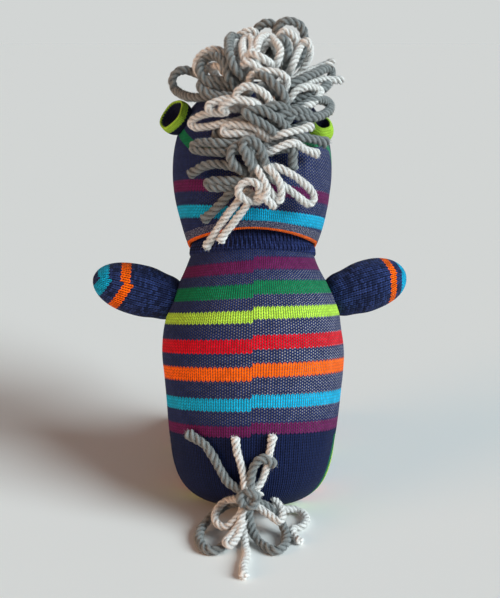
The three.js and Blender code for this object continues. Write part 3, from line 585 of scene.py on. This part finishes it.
def tubes(name, grid, uv, material, hairs=()):
    """Round tubes, a grid of tube by row by column in torso millimetres, closed at both ends. Hairs are
    loose triangles, each with its three points and one UV. Nothing reaches below the ground."""
    count, rows, columns = grid.shape[:3]
    columns -= 1
    number = np.arange(count * rows * columns).reshape(count, rows, columns)
    right = np.roll(number, -1, 2)
    quads = np.stack([number[:, :-1], right[:, :-1], right[:, 1:], number[:, 1:]], -1).reshape(-1, 4)
    ends = np.concatenate([number[:, 0, ::-1], number[:, -1]])
    corners = [np.stack([uv[:, :-1, :-1], uv[:, :-1, 1:], uv[:, 1:, 1:], uv[:, 1:, :-1]], 3).reshape(-1, 2)]
    corners.append(np.repeat(np.concatenate([uv[:, 0, 0], uv[:, -1, 0]]), columns, 0))
    points, faces = [grid[:, :, :-1].reshape(-1, 3)], quads.tolist() + ends.tolist()
    if len(hairs):
        loose, spot = hairs
        faces += (np.arange(len(loose) * 3).reshape(-1, 3) + number.size).tolist()
        points.append(loose.reshape(-1, 3))
        corners.append(np.repeat(spot, 3, 0))
    points = stand(np.concatenate(points))
    points[:, 2] = np.maximum(points[:, 2], 0)
    mesh = bpy.data.meshes.new(name)
    mesh.from_pydata(points, [], faces)
    flat = np.concatenate(corners).astype(np.float32)
    mesh.uv_layers.new(name="tube").data.foreach_set("uv", flat.ravel())
    mesh.materials.append(material)
    mesh.polygons.foreach_set("use_smooth", np.ones(len(mesh.polygons), bool))
    piece = bpy.data.objects.new(name, mesh)
    scene.collection.objects.link(piece)
    return piece


def cotton(name, colour, dark):
    """Smooth sewing thread: two shades mottled finely, with a slight bump, in Object coordinates."""
    made, shader, uv = blank(name, 0.75, 0.2)
    spot = uv.node("TexCoord", {}, out="Object")
    mottle = uv.node("TexNoise", {"Vector": spot, "Scale": 1800.0, "Detail": 2.0})
    made.node_tree.links.new(mottle.mixed(dark, colour).socket, shader.inputs["Base Color"])
    bump = mottle.node("Bump", {"Strength": 0.4, "Distance": 0.0002, "Height": mottle})
    made.node_tree.links.new(bump.socket, shader.inputs["Normal"])
    return made


def stitches(name, starts, ends, out, thick, material, body):
    """Short stitches, each from a start to an end: a round tube that comes up out of the cloth, bows
    outwards along its own direction out, and goes in again, thinner where it dips."""
    share, sides = np.linspace(0, 1, 9), 8
    bow = np.sqrt(np.sin(np.pi * share))[:, None]
    line = starts[:, None] + (ends - starts)[:, None] * share[:, None] + out[:, None] * bow
    ahead = np.gradient(line, axis=1)
    one = np.cross(ahead, out[:, None])
    one /= np.linalg.norm(one, axis=-1, keepdims=True)
    two = np.cross(ahead, one)
    two /= np.linalg.norm(two, axis=-1, keepdims=True)
    turn = full_turn(sides)[:, None]
    ring = np.cos(turn) * one[:, :, None] + np.sin(turn) * two[:, :, None]
    grid = line[:, :, None] + ring * (thick / 2 * (0.5 + 0.5 * bow))[:, None]
    uv = np.stack(np.broadcast_arrays(np.arange(sides + 1) / sides, share[:, None] * 4), -1)
    piece = tubes(name, grid, np.broadcast_to(uv, (len(grid), *uv.shape)), material)
    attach(piece, body)


turn = full_turn(48)
puff = np.cos(np.linspace(0, np.pi / 2, 16))[:, None] ** PUFF
puff[-1] = 0.03
grid = on_muzzle(-MUZZLE_WIDE * puff * np.sin(turn), MUZZLE_AT - MUZZLE_HIGH * puff * np.cos(turn))
rows = np.linspace(0, 38, len(puff))[:, None]
uv = np.stack(np.broadcast_arrays(turn / (2 * np.pi) * 54, rows / COURSE), -1)
muzzle = skin("muzzle_knit", stand(grid[:, :-1]), uv, knit("muzzle_knit", [(8.4, 14.7, TURQUOISE)], 42),
              caps=(0, len(grid) - 1))
sewn = np.zeros(grid[:, :-1].shape[:2], bool)
sewn[:3] = True
cloth(muzzle, sewn.ravel(), 0.001)
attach(muzzle, "head")
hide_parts("muzzle_sock", "muzzle_stuffing")

white_cotton = cotton("white_cotton", dye(236, 232, 222), dye(196, 190, 180))
navy_cotton = cotton("navy_cotton", dye(40, 42, 70), dye(20, 22, 44))
nostril = np.array([(side * (10 + step), 177.5 - abs(step - 0.3))
                    for side in (-1, 1) for step in (-1.4, 0, 1.4)])
SMILE = 11
smile = np.linspace(-SMILE, SMILE, 7)
lips = np.stack([smile, 163.5 + 2.5 * (smile / SMILE) ** 2], -1)
starts = np.concatenate([nostril, lips[:-1]])
ends = np.concatenate([nostril * [0.86, 1] + [0, 4], lips[1:] - [0.3, 0]])
bow = np.broadcast_to([0, 1.5, 0], (len(starts), 3))
stitches("muzzle_face_stitches", on_muzzle(*starts.T), on_muzzle(*ends.T), bow, 1.2,
         white_cotton, "head")
turn = full_turn(52)[:-1]
edge = on_muzzle(-(MUZZLE_WIDE - 0.4) * np.sin(turn), MUZZLE_AT - (MUZZLE_HIGH - 0.3) * np.cos(turn))
away = np.stack([-np.sin(turn), np.full_like(turn, 0.9), -np.cos(turn)], -1)
stitches("muzzle_seam_stitches", edge + away * [1.2, -1.2, 1.2], edge + away * [-0.8, 1.6, -0.8],
         away * 0.7, 0.7, navy_cotton, "head")


# Eyes: black two-hole buttons on the front of the head, each held by a loop of white thread through its
# holes. Their shape comes with the frame; here they get a worn gloss and the thread its mottle.
def moulded(name, colour):
    """Moulded plastic: a deep gloss that fine rubbing dulls in patches, with a faint unevenness."""
    made, shader, uv = blank(name, 0.3, 0.0)
    spot = uv.node("TexCoord", {}, out="Object")
    rub = uv.node("TexNoise", {"Vector": spot, "Scale": 900.0, "Detail": 4.0})
    tree = made.node_tree
    tree.links.new(rub.mixed(colour, dye(52, 50, 56)).socket, shader.inputs["Base Color"])
    tree.links.new((rub * 0.4 + 0.1).socket, shader.inputs["Roughness"])
    shader.inputs["Specular IOR Level"].default_value = 0.5
    bump = rub.node("Bump", {"Strength": 0.15, "Distance": 0.0001, "Height": rub})
    tree.links.new(bump.socket, shader.inputs["Normal"])
    return made


black_button = moulded("black_button", dye(18, 17, 20))
for side in ("left", "right"):
    for part, finish in (("button", black_button), ("thread", white_cotton)):
        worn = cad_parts[f"{side}_eye_{part}"].data.materials
        worn.clear()
        worn.append(finish)


# Yarn: three plies laid round each other, fuzzy, sewn through the knit in loops and cut ends. The grey
# one is bulkier than the white one.
GREY_THICK, WHITE_THICK, KNOT_THICK = 4.7, 4.0, 4.2
YARN_STEP = 0.55


def smooth(points, step):
    """A line through points: between two of them a cubic whose slopes come from the neighbours, timed by
    the square root of the distances; then places evenly along it."""
    p = np.asarray(points, float)
    p = np.concatenate([[2 * p[0] - p[1]], p, [2 * p[-1] - p[-2]]])
    t = np.concatenate([[0], np.cumsum(np.linalg.norm(np.diff(p, axis=0), axis=1) ** 0.5)])
    slope = (p[2:] - p[:-2]) / (t[2:] - t[:-2])[:, None]
    lines = []
    for i in range(len(p) - 3):
        u = np.linspace(0, 1, 24, endpoint=i == len(p) - 4)[:, None]
        gap = t[i + 2] - t[i + 1]
        lines.append((2 * u**3 - 3 * u**2 + 1) * p[i + 1] + (u**3 - 2 * u**2 + u) * gap * slope[i]
                     + (3 * u**2 - 2 * u**3) * p[i + 2] + (u**3 - u**2) * gap * slope[i + 1])
    fine = np.concatenate(lines)
    run = np.concatenate([[0], np.cumsum(np.linalg.norm(np.diff(fine, axis=0), axis=1))])
    even = np.linspace(0, run[-1], max(8, round(run[-1] / step)))
    return np.stack([np.interp(even, run, fine[:, k]) for k in range(3)], -1), even


def frames_along(line):
    """Two directions across a line at each place, turned as little as possible from one to the next."""
    ahead = np.gradient(line, axis=0)
    ahead /= np.linalg.norm(ahead, axis=1, keepdims=True)
    one = np.cross(ahead[0], [0.3, 0.5, 0.8])
    across = []
    for way in ahead:
        one = one - way * (one @ way)
        one = one / np.linalg.norm(one)
        across.append(one)
    across = np.array(across)
    return across, np.cross(ahead, across)


def wool(name, colour, dark):
    """Woolly yarn, read from a UV of (turn about the ply in ninths, way along it): pale where a ply faces
    outwards and dark with painted shade in the groove beside its neighbours, streaked from fibre to fibre."""
    made, shader, uv = blank(name, 1.0, 0.4)
    turn = Wire(uv.node("SeparateXYZ", {0: uv}).socket.node.outputs[0])
    groove = (turn * (2 * np.pi / 9)).math("COSINE") * 0.5 + 0.5
    streak = uv.node("TexNoise", {"Vector": uv, "Scale": 2.2, "Detail": 5.0, "Roughness": 0.75},
                     noise_dimensions="2D")
    patch = uv.node("TexNoise", {"Vector": uv, "Scale": 0.12, "Detail": 2.0}, noise_dimensions="2D")
    # Painted shade: the colour darkens in the grooves between plies; streak and patch are random.
    shade_and_streak = (groove * 1.05 + streak * 1.1 + patch * 0.5 - 0.85).clamped()
    made.node_tree.links.new(shade_and_streak.mixed(dark, colour).socket, shader.inputs["Base Color"])
    bump = streak.node("Bump", {"Strength": 0.9, "Distance": 0.0004, "Height": streak})
    made.node_tree.links.new(bump.socket, shader.inputs["Normal"])
    return made


# Each dark colour is the painted shade in the grooves as well as the darker fibres.
GREY_WOOL = wool("grey_wool", dye(146, 149, 148), dye(34, 35, 38))
WHITE_WOOL = wool("white_wool", dye(253, 250, 246), dye(120, 112, 104))


def yarn(name, points, thick, wound, seed, cut=False):
    """Three round plies on a helix about the line, drawn in at both ends but frayed wider where it is
    cut, and loose fibres that stand off them. Returns the piece and the line in metres."""
    line, run = smooth(points, YARN_STEP)
    one, two = frames_along(line)
    radius = thick / 2 * (1 + 0.05 * np.sin(run * 0.4 + seed))
    taper = np.clip(np.minimum(run, run[-1] - run) / 0.8, 0.35, 1) ** 0.5
    taper = taper * (1 + 0.5 * cut * np.exp((run - run[-1]) / 2.5))
    around = full_turn(8)
    ply = np.arange(3)[:, None]
    phase = run / (thick * 2.3) * 2 * np.pi + ply * 2 * np.pi / 3
    out = np.cos(phase)[..., None] * one + np.sin(phase)[..., None] * two
    centre = line + out * (radius * 0.44 * taper)[:, None]
    flesh = radius * 0.59 * taper * (1 + 0.09 * np.sin(run * 1.3 + ply * 2 + seed))
    turn = around + phase[..., None]
    ring = np.cos(turn)[..., None] * one[:, None] + np.sin(turn)[..., None] * two[:, None]
    grid = centre[:, :, None] + ring * flesh[..., None, None]
    uv = np.stack(np.broadcast_arrays(around / (2 * np.pi) * 9 + ply[..., None] * 27 + seed * 9,
                                      run[:, None] * 0.8 + around * 1.2), -1)
    random = np.random.default_rng(seed)
    count = int(run[-1] * 60)
    at = random.integers(0, len(line), count)
    turn = random.uniform(0, 2 * np.pi, count)[:, None]
    out = np.cos(turn) * one[at] + np.sin(turn) * two[at]
    ahead = np.gradient(line, axis=0)[at] / YARN_STEP
    reach = random.uniform(0.1, 1.3, count)[:, None]
    root = line[at] + out * (radius * 0.78)[at][:, None]
    tip = root + out * reach + ahead * random.uniform(-1.7, 1.7, (count, 1))
    wide = np.cross(out, ahead) * 0.085
    hairs = np.stack([root - wide, root + wide, tip], 1)
    spot = np.stack([random.uniform(-1, 1, count) + seed * 9, run[at]], -1)
    piece = tubes(name, grid, uv, wound, (hairs, spot))
    return piece, stand(line)


def hang(name, points, grey, body, far_end, stands_for, seed):
    """A strand of the mane or the tail: bulky grey or thinner white."""
    thick = GREY_THICK if grey else WHITE_THICK
    piece, line = yarn(name, points, thick, GREY_WOOL if grey else WHITE_WOOL, seed, far_end == "bare")
    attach(piece, body)
    if stands_for:
        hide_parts(*stands_for)
    thick / 1000


# Mane: loops sewn down in a line from the nape over the crown, in torso millimetres. A strand that ends
# bare was cut there.
MANE = {
    "grey_top": [
        (16, -13, 239), (13, -18, 253), (15, -21, 260), (23, -20, 260), (27, -18, 255), (27, -14, 246),
        (19, -12, 236), (18, -27, 239), (18, -27, 246), (15, -29, 250), (13, -25, 246), (11, -15, 238),
        (5, -14, 239), (2, -12, 252), (2, -15, 258), (7, -16, 261), (12, -15, 259), (12, -11, 248),
        (10, -12, 235), (8, -7, 242), (8, -9, 247), (8, -10, 252), (10, -10, 255),
    ],
    "white_crown": [
        (3, -18, 234), (1, -38, 236), (2, -39, 242), (4, -28, 250), (9, -20, 253), (12, -31, 247),
        (14, -37, 241), (12, -38, 235), (7, -26, 233), (0, -23, 232), (-7, -35, 234), (-9, -30, 242),
        (-8, -17, 253), (-4, -18, 256), (1, -18, 256), (2, -15, 251), (0, -31, 239), (-1, -24, 234),
        (-4, -42, 234), (-5, -40, 240), (-5, -25, 249), (-2, -23, 252), (0, -28, 248), (-1, -43, 238),
        (-4, -40, 233), (-2, -22, 231),
    ],
    "white_right": [
        (16, -11, 234), (14, -16, 242), (13, -19, 250), (15, -21, 255), (18, -21, 255), (22, -20, 252),
        (23, -16, 246), (21, -13, 240), (18, -14, 233), (20, -34, 234), (25, -25, 247), (28, -26, 249),
        (30, -24, 245), (28, -20, 239), (23, -19, 232), (16, -23, 228), (18, -37, 217), (23, -38, 222),
        (30, -33, 224), (35, -27, 223), (31, -34, 216), (26, -39, 213), (18, -36, 212),
    ],
    "white_left": [
        (-3, -27, 228), (-13, -16, 244), (-20, -17, 247), (-27, -15, 245), (-30, -13, 240),
        (-27, -26, 232), (-23, -27, 235), (-17, -34, 234), (-13, -33, 229), (-8, -31, 224),
        (-16, -29, 226), (-20, -22, 233), (-24, -9, 240), (-26, -7, 235), (-22, -25, 225),
    ],
    "grey_left": [
        (-3, -33, 225), (-12, -41, 227), (-13, -42, 233), (-19, -35, 239), (-25, -31, 238),
        (-27, -34, 232), (-23, -36, 226), (-10, -35, 222), (-5, -35, 220), (-13, -38, 225),
        (-22, -36, 227), (-27, -34, 225), (-23, -37, 220), (-12, -39, 218), (-3, -38, 216),
    ],
    "grey_far_left": [
        (-3, -38, 215), (-20, -38, 218), (-32, -27, 220), (-41, -10, 227), (-43, -11, 232),
        (-39, -12, 237), (-31, -12, 236), (-18, -31, 225), (-6, -36, 218), (-1, -36, 224), (-9, -45, 231),
        (-12, -39, 241), (-11, -20, 253), (-5, -19, 250), (2, -14, 238),
    ],
    "white_end_far": [
        (4, -30, 223), (11, -29, 225), (21, -32, 228), (32, -19, 236), (43, -15, 241),
    ],
    "grey_right": [
        (11, -35, 220), (22, -36, 226), (33, -26, 233), (41, -13, 238), (42, -12, 233), (34, -26, 223),
        (18, -33, 217), (10, -40, 212), (20, -43, 208), (31, -37, 208), (39, -24, 213), (41, -14, 219),
        (33, -31, 218), (22, -40, 212), (12, -40, 207),
    ],
    "white_end_right": [
        (5, -36, 219), (12, -34, 219), (24, -32, 224), (33, -21, 230), (48, -12, 232),
    ],
    "white_middle": [
        (-2, -38, 222), (-1, -44, 227), (5, -46, 229), (14, -45, 228), (17, -42, 224), (12, -37, 217),
        (7, -41, 212), (0, -51, 213), (-7, -53, 214), (-8, -53, 217), (-3, -54, 220), (4, -53, 218),
        (8, -49, 214), (7, -41, 209),
    ],
    "grey_middle": [
        (-5, -37, 226), (2, -45, 228), (9, -50, 223), (15, -50, 217), (16, -45, 212), (12, -41, 207),
        (8, -44, 215), (3, -49, 218), (5, -48, 222), (10, -47, 220), (14, -44, 215), (15, -38, 211),
    ],
    "white_left_long": [
        (0, -39, 213), (-12, -46, 210), (-24, -45, 208), (-31, -41, 205), (-28, -42, 202),
        (-16, -46, 203), (-1, -44, 207), (1, -44, 210), (-6, -50, 214), (-15, -51, 214), (-22, -50, 211),
        (-19, -50, 208), (-13, -51, 208), (-15, -54, 210), (-8, -56, 213), (-1, -55, 212), (3, -49, 211),
        (5, -42, 209),
    ],
    "grey_back": [
        (14, -42, 196), (7, -51, 201), (-1, -54, 205), (-4, -54, 208), (2, -54, 209), (10, -52, 206),
        (17, -45, 201), (18, -40, 197),
    ],
    "white_back": [
        (8, -43, 197), (-5, -49, 198), (-14, -49, 198), (-14, -48, 201), (-8, -50, 202), (2, -50, 200),
        (9, -43, 195),
    ],
    "grey_back_left": [
        (0, -44, 192), (-13, -48, 189), (-25, -44, 190), (-30, -41, 192), (-27, -44, 194),
        (-15, -49, 193), (-2, -45, 192), (-1, -44, 177), (-11, -46, 175), (-20, -45, 175),
        (-23, -43, 174), (-20, -44, 172), (-10, -45, 172), (-2, -44, 174),
    ],
    "grey_end_short": [
        (9, -44, 190), (4, -45, 192), (-6, -46, 195), (-20, -42, 199),
    ],
    "grey_nape": [
        (-2, -44, 178), (-9, -52, 182), (-11, -54, 187), (-8, -54, 191), (-3, -54, 188), (1, -49, 182),
        (2, -45, 176), (-2, -53, 184), (-5, -56, 190), (-3, -56, 194), (3, -54, 191), (6, -50, 183),
        (6, -44, 176),
    ],
    "grey_end_upper": [
        (-2, -44, 179), (-11, -48, 182), (-22, -45, 183), (-32, -38, 179),
    ],
    "grey_end_lower": [
        (0, -44, 178), (-4, -43, 174), (-11, -44, 169), (-18, -41, 162), (-25, -36, 156),
    ],
    "white_end_long": [
        (-2, -43, 171), (-8, -46, 164), (-16, -41, 154), (-24, -36, 142),
    ],
    "white_end_long_inner": [
        (0, -43, 170), (-3, -46, 163), (-10, -43, 154), (-17, -40, 145),
    ],
    "white_ring": [
        (3, -43, 165), (-3, -49, 165), (-7, -51, 168), (-6, -52, 172), (-2, -53, 174), (3, -53, 172),
        (3, -50, 168), (1, -47, 165), (5, -51, 166), (7, -53, 170), (4, -52, 177), (1, -49, 182),
        (0, -44, 186),
    ],
    "white_loop_low": [
        (4, -44, 182), (13, -48, 181), (24, -45, 175), (31, -39, 168), (28, -40, 164), (19, -45, 170),
        (7, -44, 178),
    ],
    "white_end_side": [
        (0, -44, 184), (5, -48, 188), (11, -50, 190), (18, -49, 193), (22, -46, 193), (26, -43, 191),
        (33, -38, 189),
    ],
    "grey_end_side": [
        (-1, -44, 186), (10, -43, 190), (19, -45, 191), (20, -43, 186), (20, -41, 181),
    ],
    "grey_end_far": [
        (5, -43, 193), (12, -42, 195), (24, -42, 197), (38, -31, 196),
    ],
    "white_crown_low": [
        (14, -18, 236), (12, -25, 245), (8, -27, 248), (4, -25, 243), (0, -20, 235), (-6, -21, 230),
        (-9, -26, 229), (-9, -33, 234), (-5, -40, 237), (-1, -44, 238), (4, -46, 236), (9, -40, 234),
        (12, -24, 232), (7, -32, 230), (3, -44, 231), (-2, -47, 233), (-6, -41, 232), (-5, -25, 229),
    ],
    "grey_mass": [
        (2, -44, 203), (4, -49, 208), (9, -50, 211), (16, -47, 211), (19, -44, 207), (14, -45, 203),
        (8, -43, 201), (10, -48, 205), (18, -46, 209), (26, -41, 210), (29, -37, 208), (24, -40, 203),
        (16, -40, 200),
    ],
    "white_end_ear": [
        (2, -44, 196), (5, -44, 197), (10, -46, 197), (15, -48, 198), (22, -45, 200), (30, -39, 203),
    ],
    "white_ring_end": [
        (3, -45, 185), (7, -50, 181), (12, -51, 176), (14, -50, 170), (13, -48, 165), (9, -49, 169),
        (5, -47, 175), (2, -45, 177), (3, -49, 171), (6, -51, 166), (11, -47, 162),
    ],
}
STANDS_FOR = {
    "white_ring": ["mane_nape_white"], "grey_back": ["mane_back_grey"], "white_crown": ["mane_crown_white"],
    "grey_top": ["mane_top_grey"], "white_right": ["mane_brow_white"], "grey_right": ["mane_right_grey"],
    "grey_far_left": ["mane_left_grey"],
}
for seed, (name, points) in enumerate(MANE.items()):
    hang("mane_" + name, points, "grey" in name, "head", "bare" if "end" in name else "object",
         STANDS_FOR.get(name, ()), seed)


# Tail: grey and white yarn tied in a bow on the heel, with a knot of grey turns. Cut ends lie up the
# back, in torso millimetres; loops and long ends lie on the ground, in those of the shared frame.
ENDS = {
    "grey_end_left": [
        (-2, -43.2, 15), (-5, -42.9, 18.6), (-10, -40, 20.9), (-14.1, -39.1, 24.7), (-19.2, -39, 33.9),
        (-24.4, -37.6, 41.3), (-33.9, -32.4, 46.5),
    ],
    "white_end_left": [
        (-1, -44.2, 13), (-3.9, -43.7, 20.5), (-4.4, -41.5, 25.2), (-6, -41.5, 31.8), (-8, -42.2, 39.6),
        (-9, -43.2, 46.4),
    ],
    "grey_hook": [
        (-3.9, -43.5, 14), (-1.9, -43.5, 19.5), (-0.9, -42.8, 25.5), (0.6, -42.8, 31.6),
        (4.2, -43.1, 35.2), (8.2, -42.6, 34.6), (10.8, -41.7, 31.4),
    ],
    "white_end_right": [
        (-1.4, -43, 13.5), (0.6, -42.4, 18.1), (4.7, -40.7, 24), (7.2, -41.3, 31.8), (8.7, -42, 39.6),
        (10.2, -43, 47.4),
    ],
}
LOOPS = {
    "grey_loop_left": [
        (-4.6, -49.1, 17), (-14.5, -43.1, 10), (-23.3, -48.7, 5), (-27.3, -58.8, 2.6),
        (-24.7, -69.6, 2.4), (-19.6, -73.1, 2.4), (-13.8, -68.2, 2.8), (-9, -59.8, 6),
        (-4.5, -51.9, 14),
    ],
    "white_loop_left": [
        (-5.5, -51.6, 19), (-13.9, -44.9, 14), (-19.1, -49.2, 10), (-18.3, -56.7, 8), (-13.1, -59.7, 8),
        (-7, -57.5, 13), (-3.9, -54.2, 18), (-6.5, -60.9, 11), (-9.9, -65.5, 7.5), (-13.3, -72, 6.8),
        (-11, -74, 6), (-7.5, -67.5, 7.5), (-4.5, -60, 11.5),
    ],
    "white_end_down": [
        (-3.5, -51.9, 14), (-3.5, -55.1, 6.5), (-3.9, -67.3, 2), (-3, -76, 2), (-4.6, -86, 2),
        (-4, -94.8, 2),
    ],
    "grey_loop_right": [
        (-1.9, -51.9, 14), (-0.9, -57, 6.5), (3.6, -66.2, 2.8), (11.4, -73.1, 2.4), (16.6, -65.1, 2.5),
        (16, -55.6, 4.5), (10.5, -49.9, 11), (0.7, -49, 17),
    ],
    "white_loop_right": [
        (-0.3, -50.6, 19), (6.5, -43.6, 18.5), (12.2, -44.9, 14), (15.2, -51.3, 11), (13.4, -57.7, 9.5),
        (7.9, -54.3, 12), (0.7, -51.6, 16),
    ],
    "white_end_far": [
        (1.8, -48.2, 15), (9.5, -43.1, 10), (17, -37, 5), (24.4, -34.3, 2.6), (28.2, -41.5, 2),
        (25.6, -49.2, 1.9), (21.3, -51.2, 1.9), (20.5, -57, 1.9), (24.2, -64.6, 1.9),
    ],
}
TAIL = {**ENDS, **{name: lying(points) for name, points in LOOPS.items()}}
for seed, (name, points) in enumerate(TAIL.items(), 40):
    far_end = "bare" if "end" in name or "hook" in name else "object"
    node = f"tail_{name}"
    stands_for = [node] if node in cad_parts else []
    hang(f"{node}_yarn", points, "grey" in name, "torso", far_end, stands_for, seed)

coil = np.linspace(0, 2 * np.pi * 2.6, 40)
knot_line = np.stack([-2.2 + 4.1 * np.cos(coil), -44.4 - 2.6 * np.sin(coil * 1.5),
                      15.5 + 3.6 * np.sin(coil)], -1)
knot, _ = yarn("tail_knot_turns", knot_line, KNOT_THICK, GREY_WOOL, 77)
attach(knot, "torso")
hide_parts("tail_knot")


# Floor, light and camera: a plain pale ground, a broad cool light from the right, a weak warm one from
# the left, and the camera behind the toy, looking down a little.
FLOOR_REACH = 60
corners = FLOOR_REACH * np.array([(-1, -1, 0), (1, -1, 0), (1, 1, 0), (-1, 1, 0)])
plane = bpy.data.meshes.new("floor")
plane.from_pydata(corners.tolist(), [], [(0, 1, 2, 3)])
pale, shader, _ = blank("floor", 1.0, 0.0)
shader.inputs["Specular IOR Level"].default_value = 0
shader.inputs["Base Color"].default_value = dye(244, 243, 240)
plane.materials.append(pale)
floor = bpy.data.objects.new("floor", plane)
scene.collection.objects.link(floor)

scene.world = bpy.data.worlds.new("studio")
scene.world.use_nodes = True
sky = scene.world.node_tree
seen = sky.nodes.new("ShaderNodeLightPath").outputs
direct = Wire(seen["Is Camera Ray"]) + Wire(seen["Is Glossy Ray"]) + Wire(seen["Is Transmission Ray"])
direct = direct.math("MINIMUM", 1.0)
backdrop = direct.mixed((0.12, 0.12, 0.13, 1), dye(210, 213, 212))
sky.links.new(backdrop.socket, sky.nodes["Background"].inputs["Color"])


def aim(thing, place, target):
    """Puts a lamp or the camera at a place, looking at a target."""
    thing.location = place
    thing.rotation_euler = (thing.location - type(thing.location)(target)).to_track_quat("Z", "Y").to_euler()
    scene.collection.objects.link(thing)


for name, place, power, tint in (
    ("window", (0.88, -0.45, 0.68), 3.8, (0.82, 0.95, 1.0)),
    ("room", (-0.9, -0.45, 0.35), 1.45, (1.0, 0.54, 0.27)),
):
    lamp = bpy.data.lights.new(name, "SUN")
    lamp.energy, lamp.color, lamp.angle = power, tint, np.radians(35)
    aim(bpy.data.objects.new(name, lamp), place, (0, 0, 0.12))

FOCAL_PIXELS, PICTURE_HIGH = 900, 598
CAMERA_AT, LOOKED_AT = (-0.0014, -0.46309, 0.24731), (-0.0014, 0.01152, 0.10672)
lens = bpy.data.cameras.new("camera")
lens.lens = lens.sensor_width * FOCAL_PIXELS / PICTURE_HIGH
lens.clip_start, lens.clip_end = 0.02, 20
camera = bpy.data.objects.new("camera", lens)
aim(camera, CAMERA_AT, LOOKED_AT)
scene.camera = camera
scene.view_settings.view_transform = "Standard"
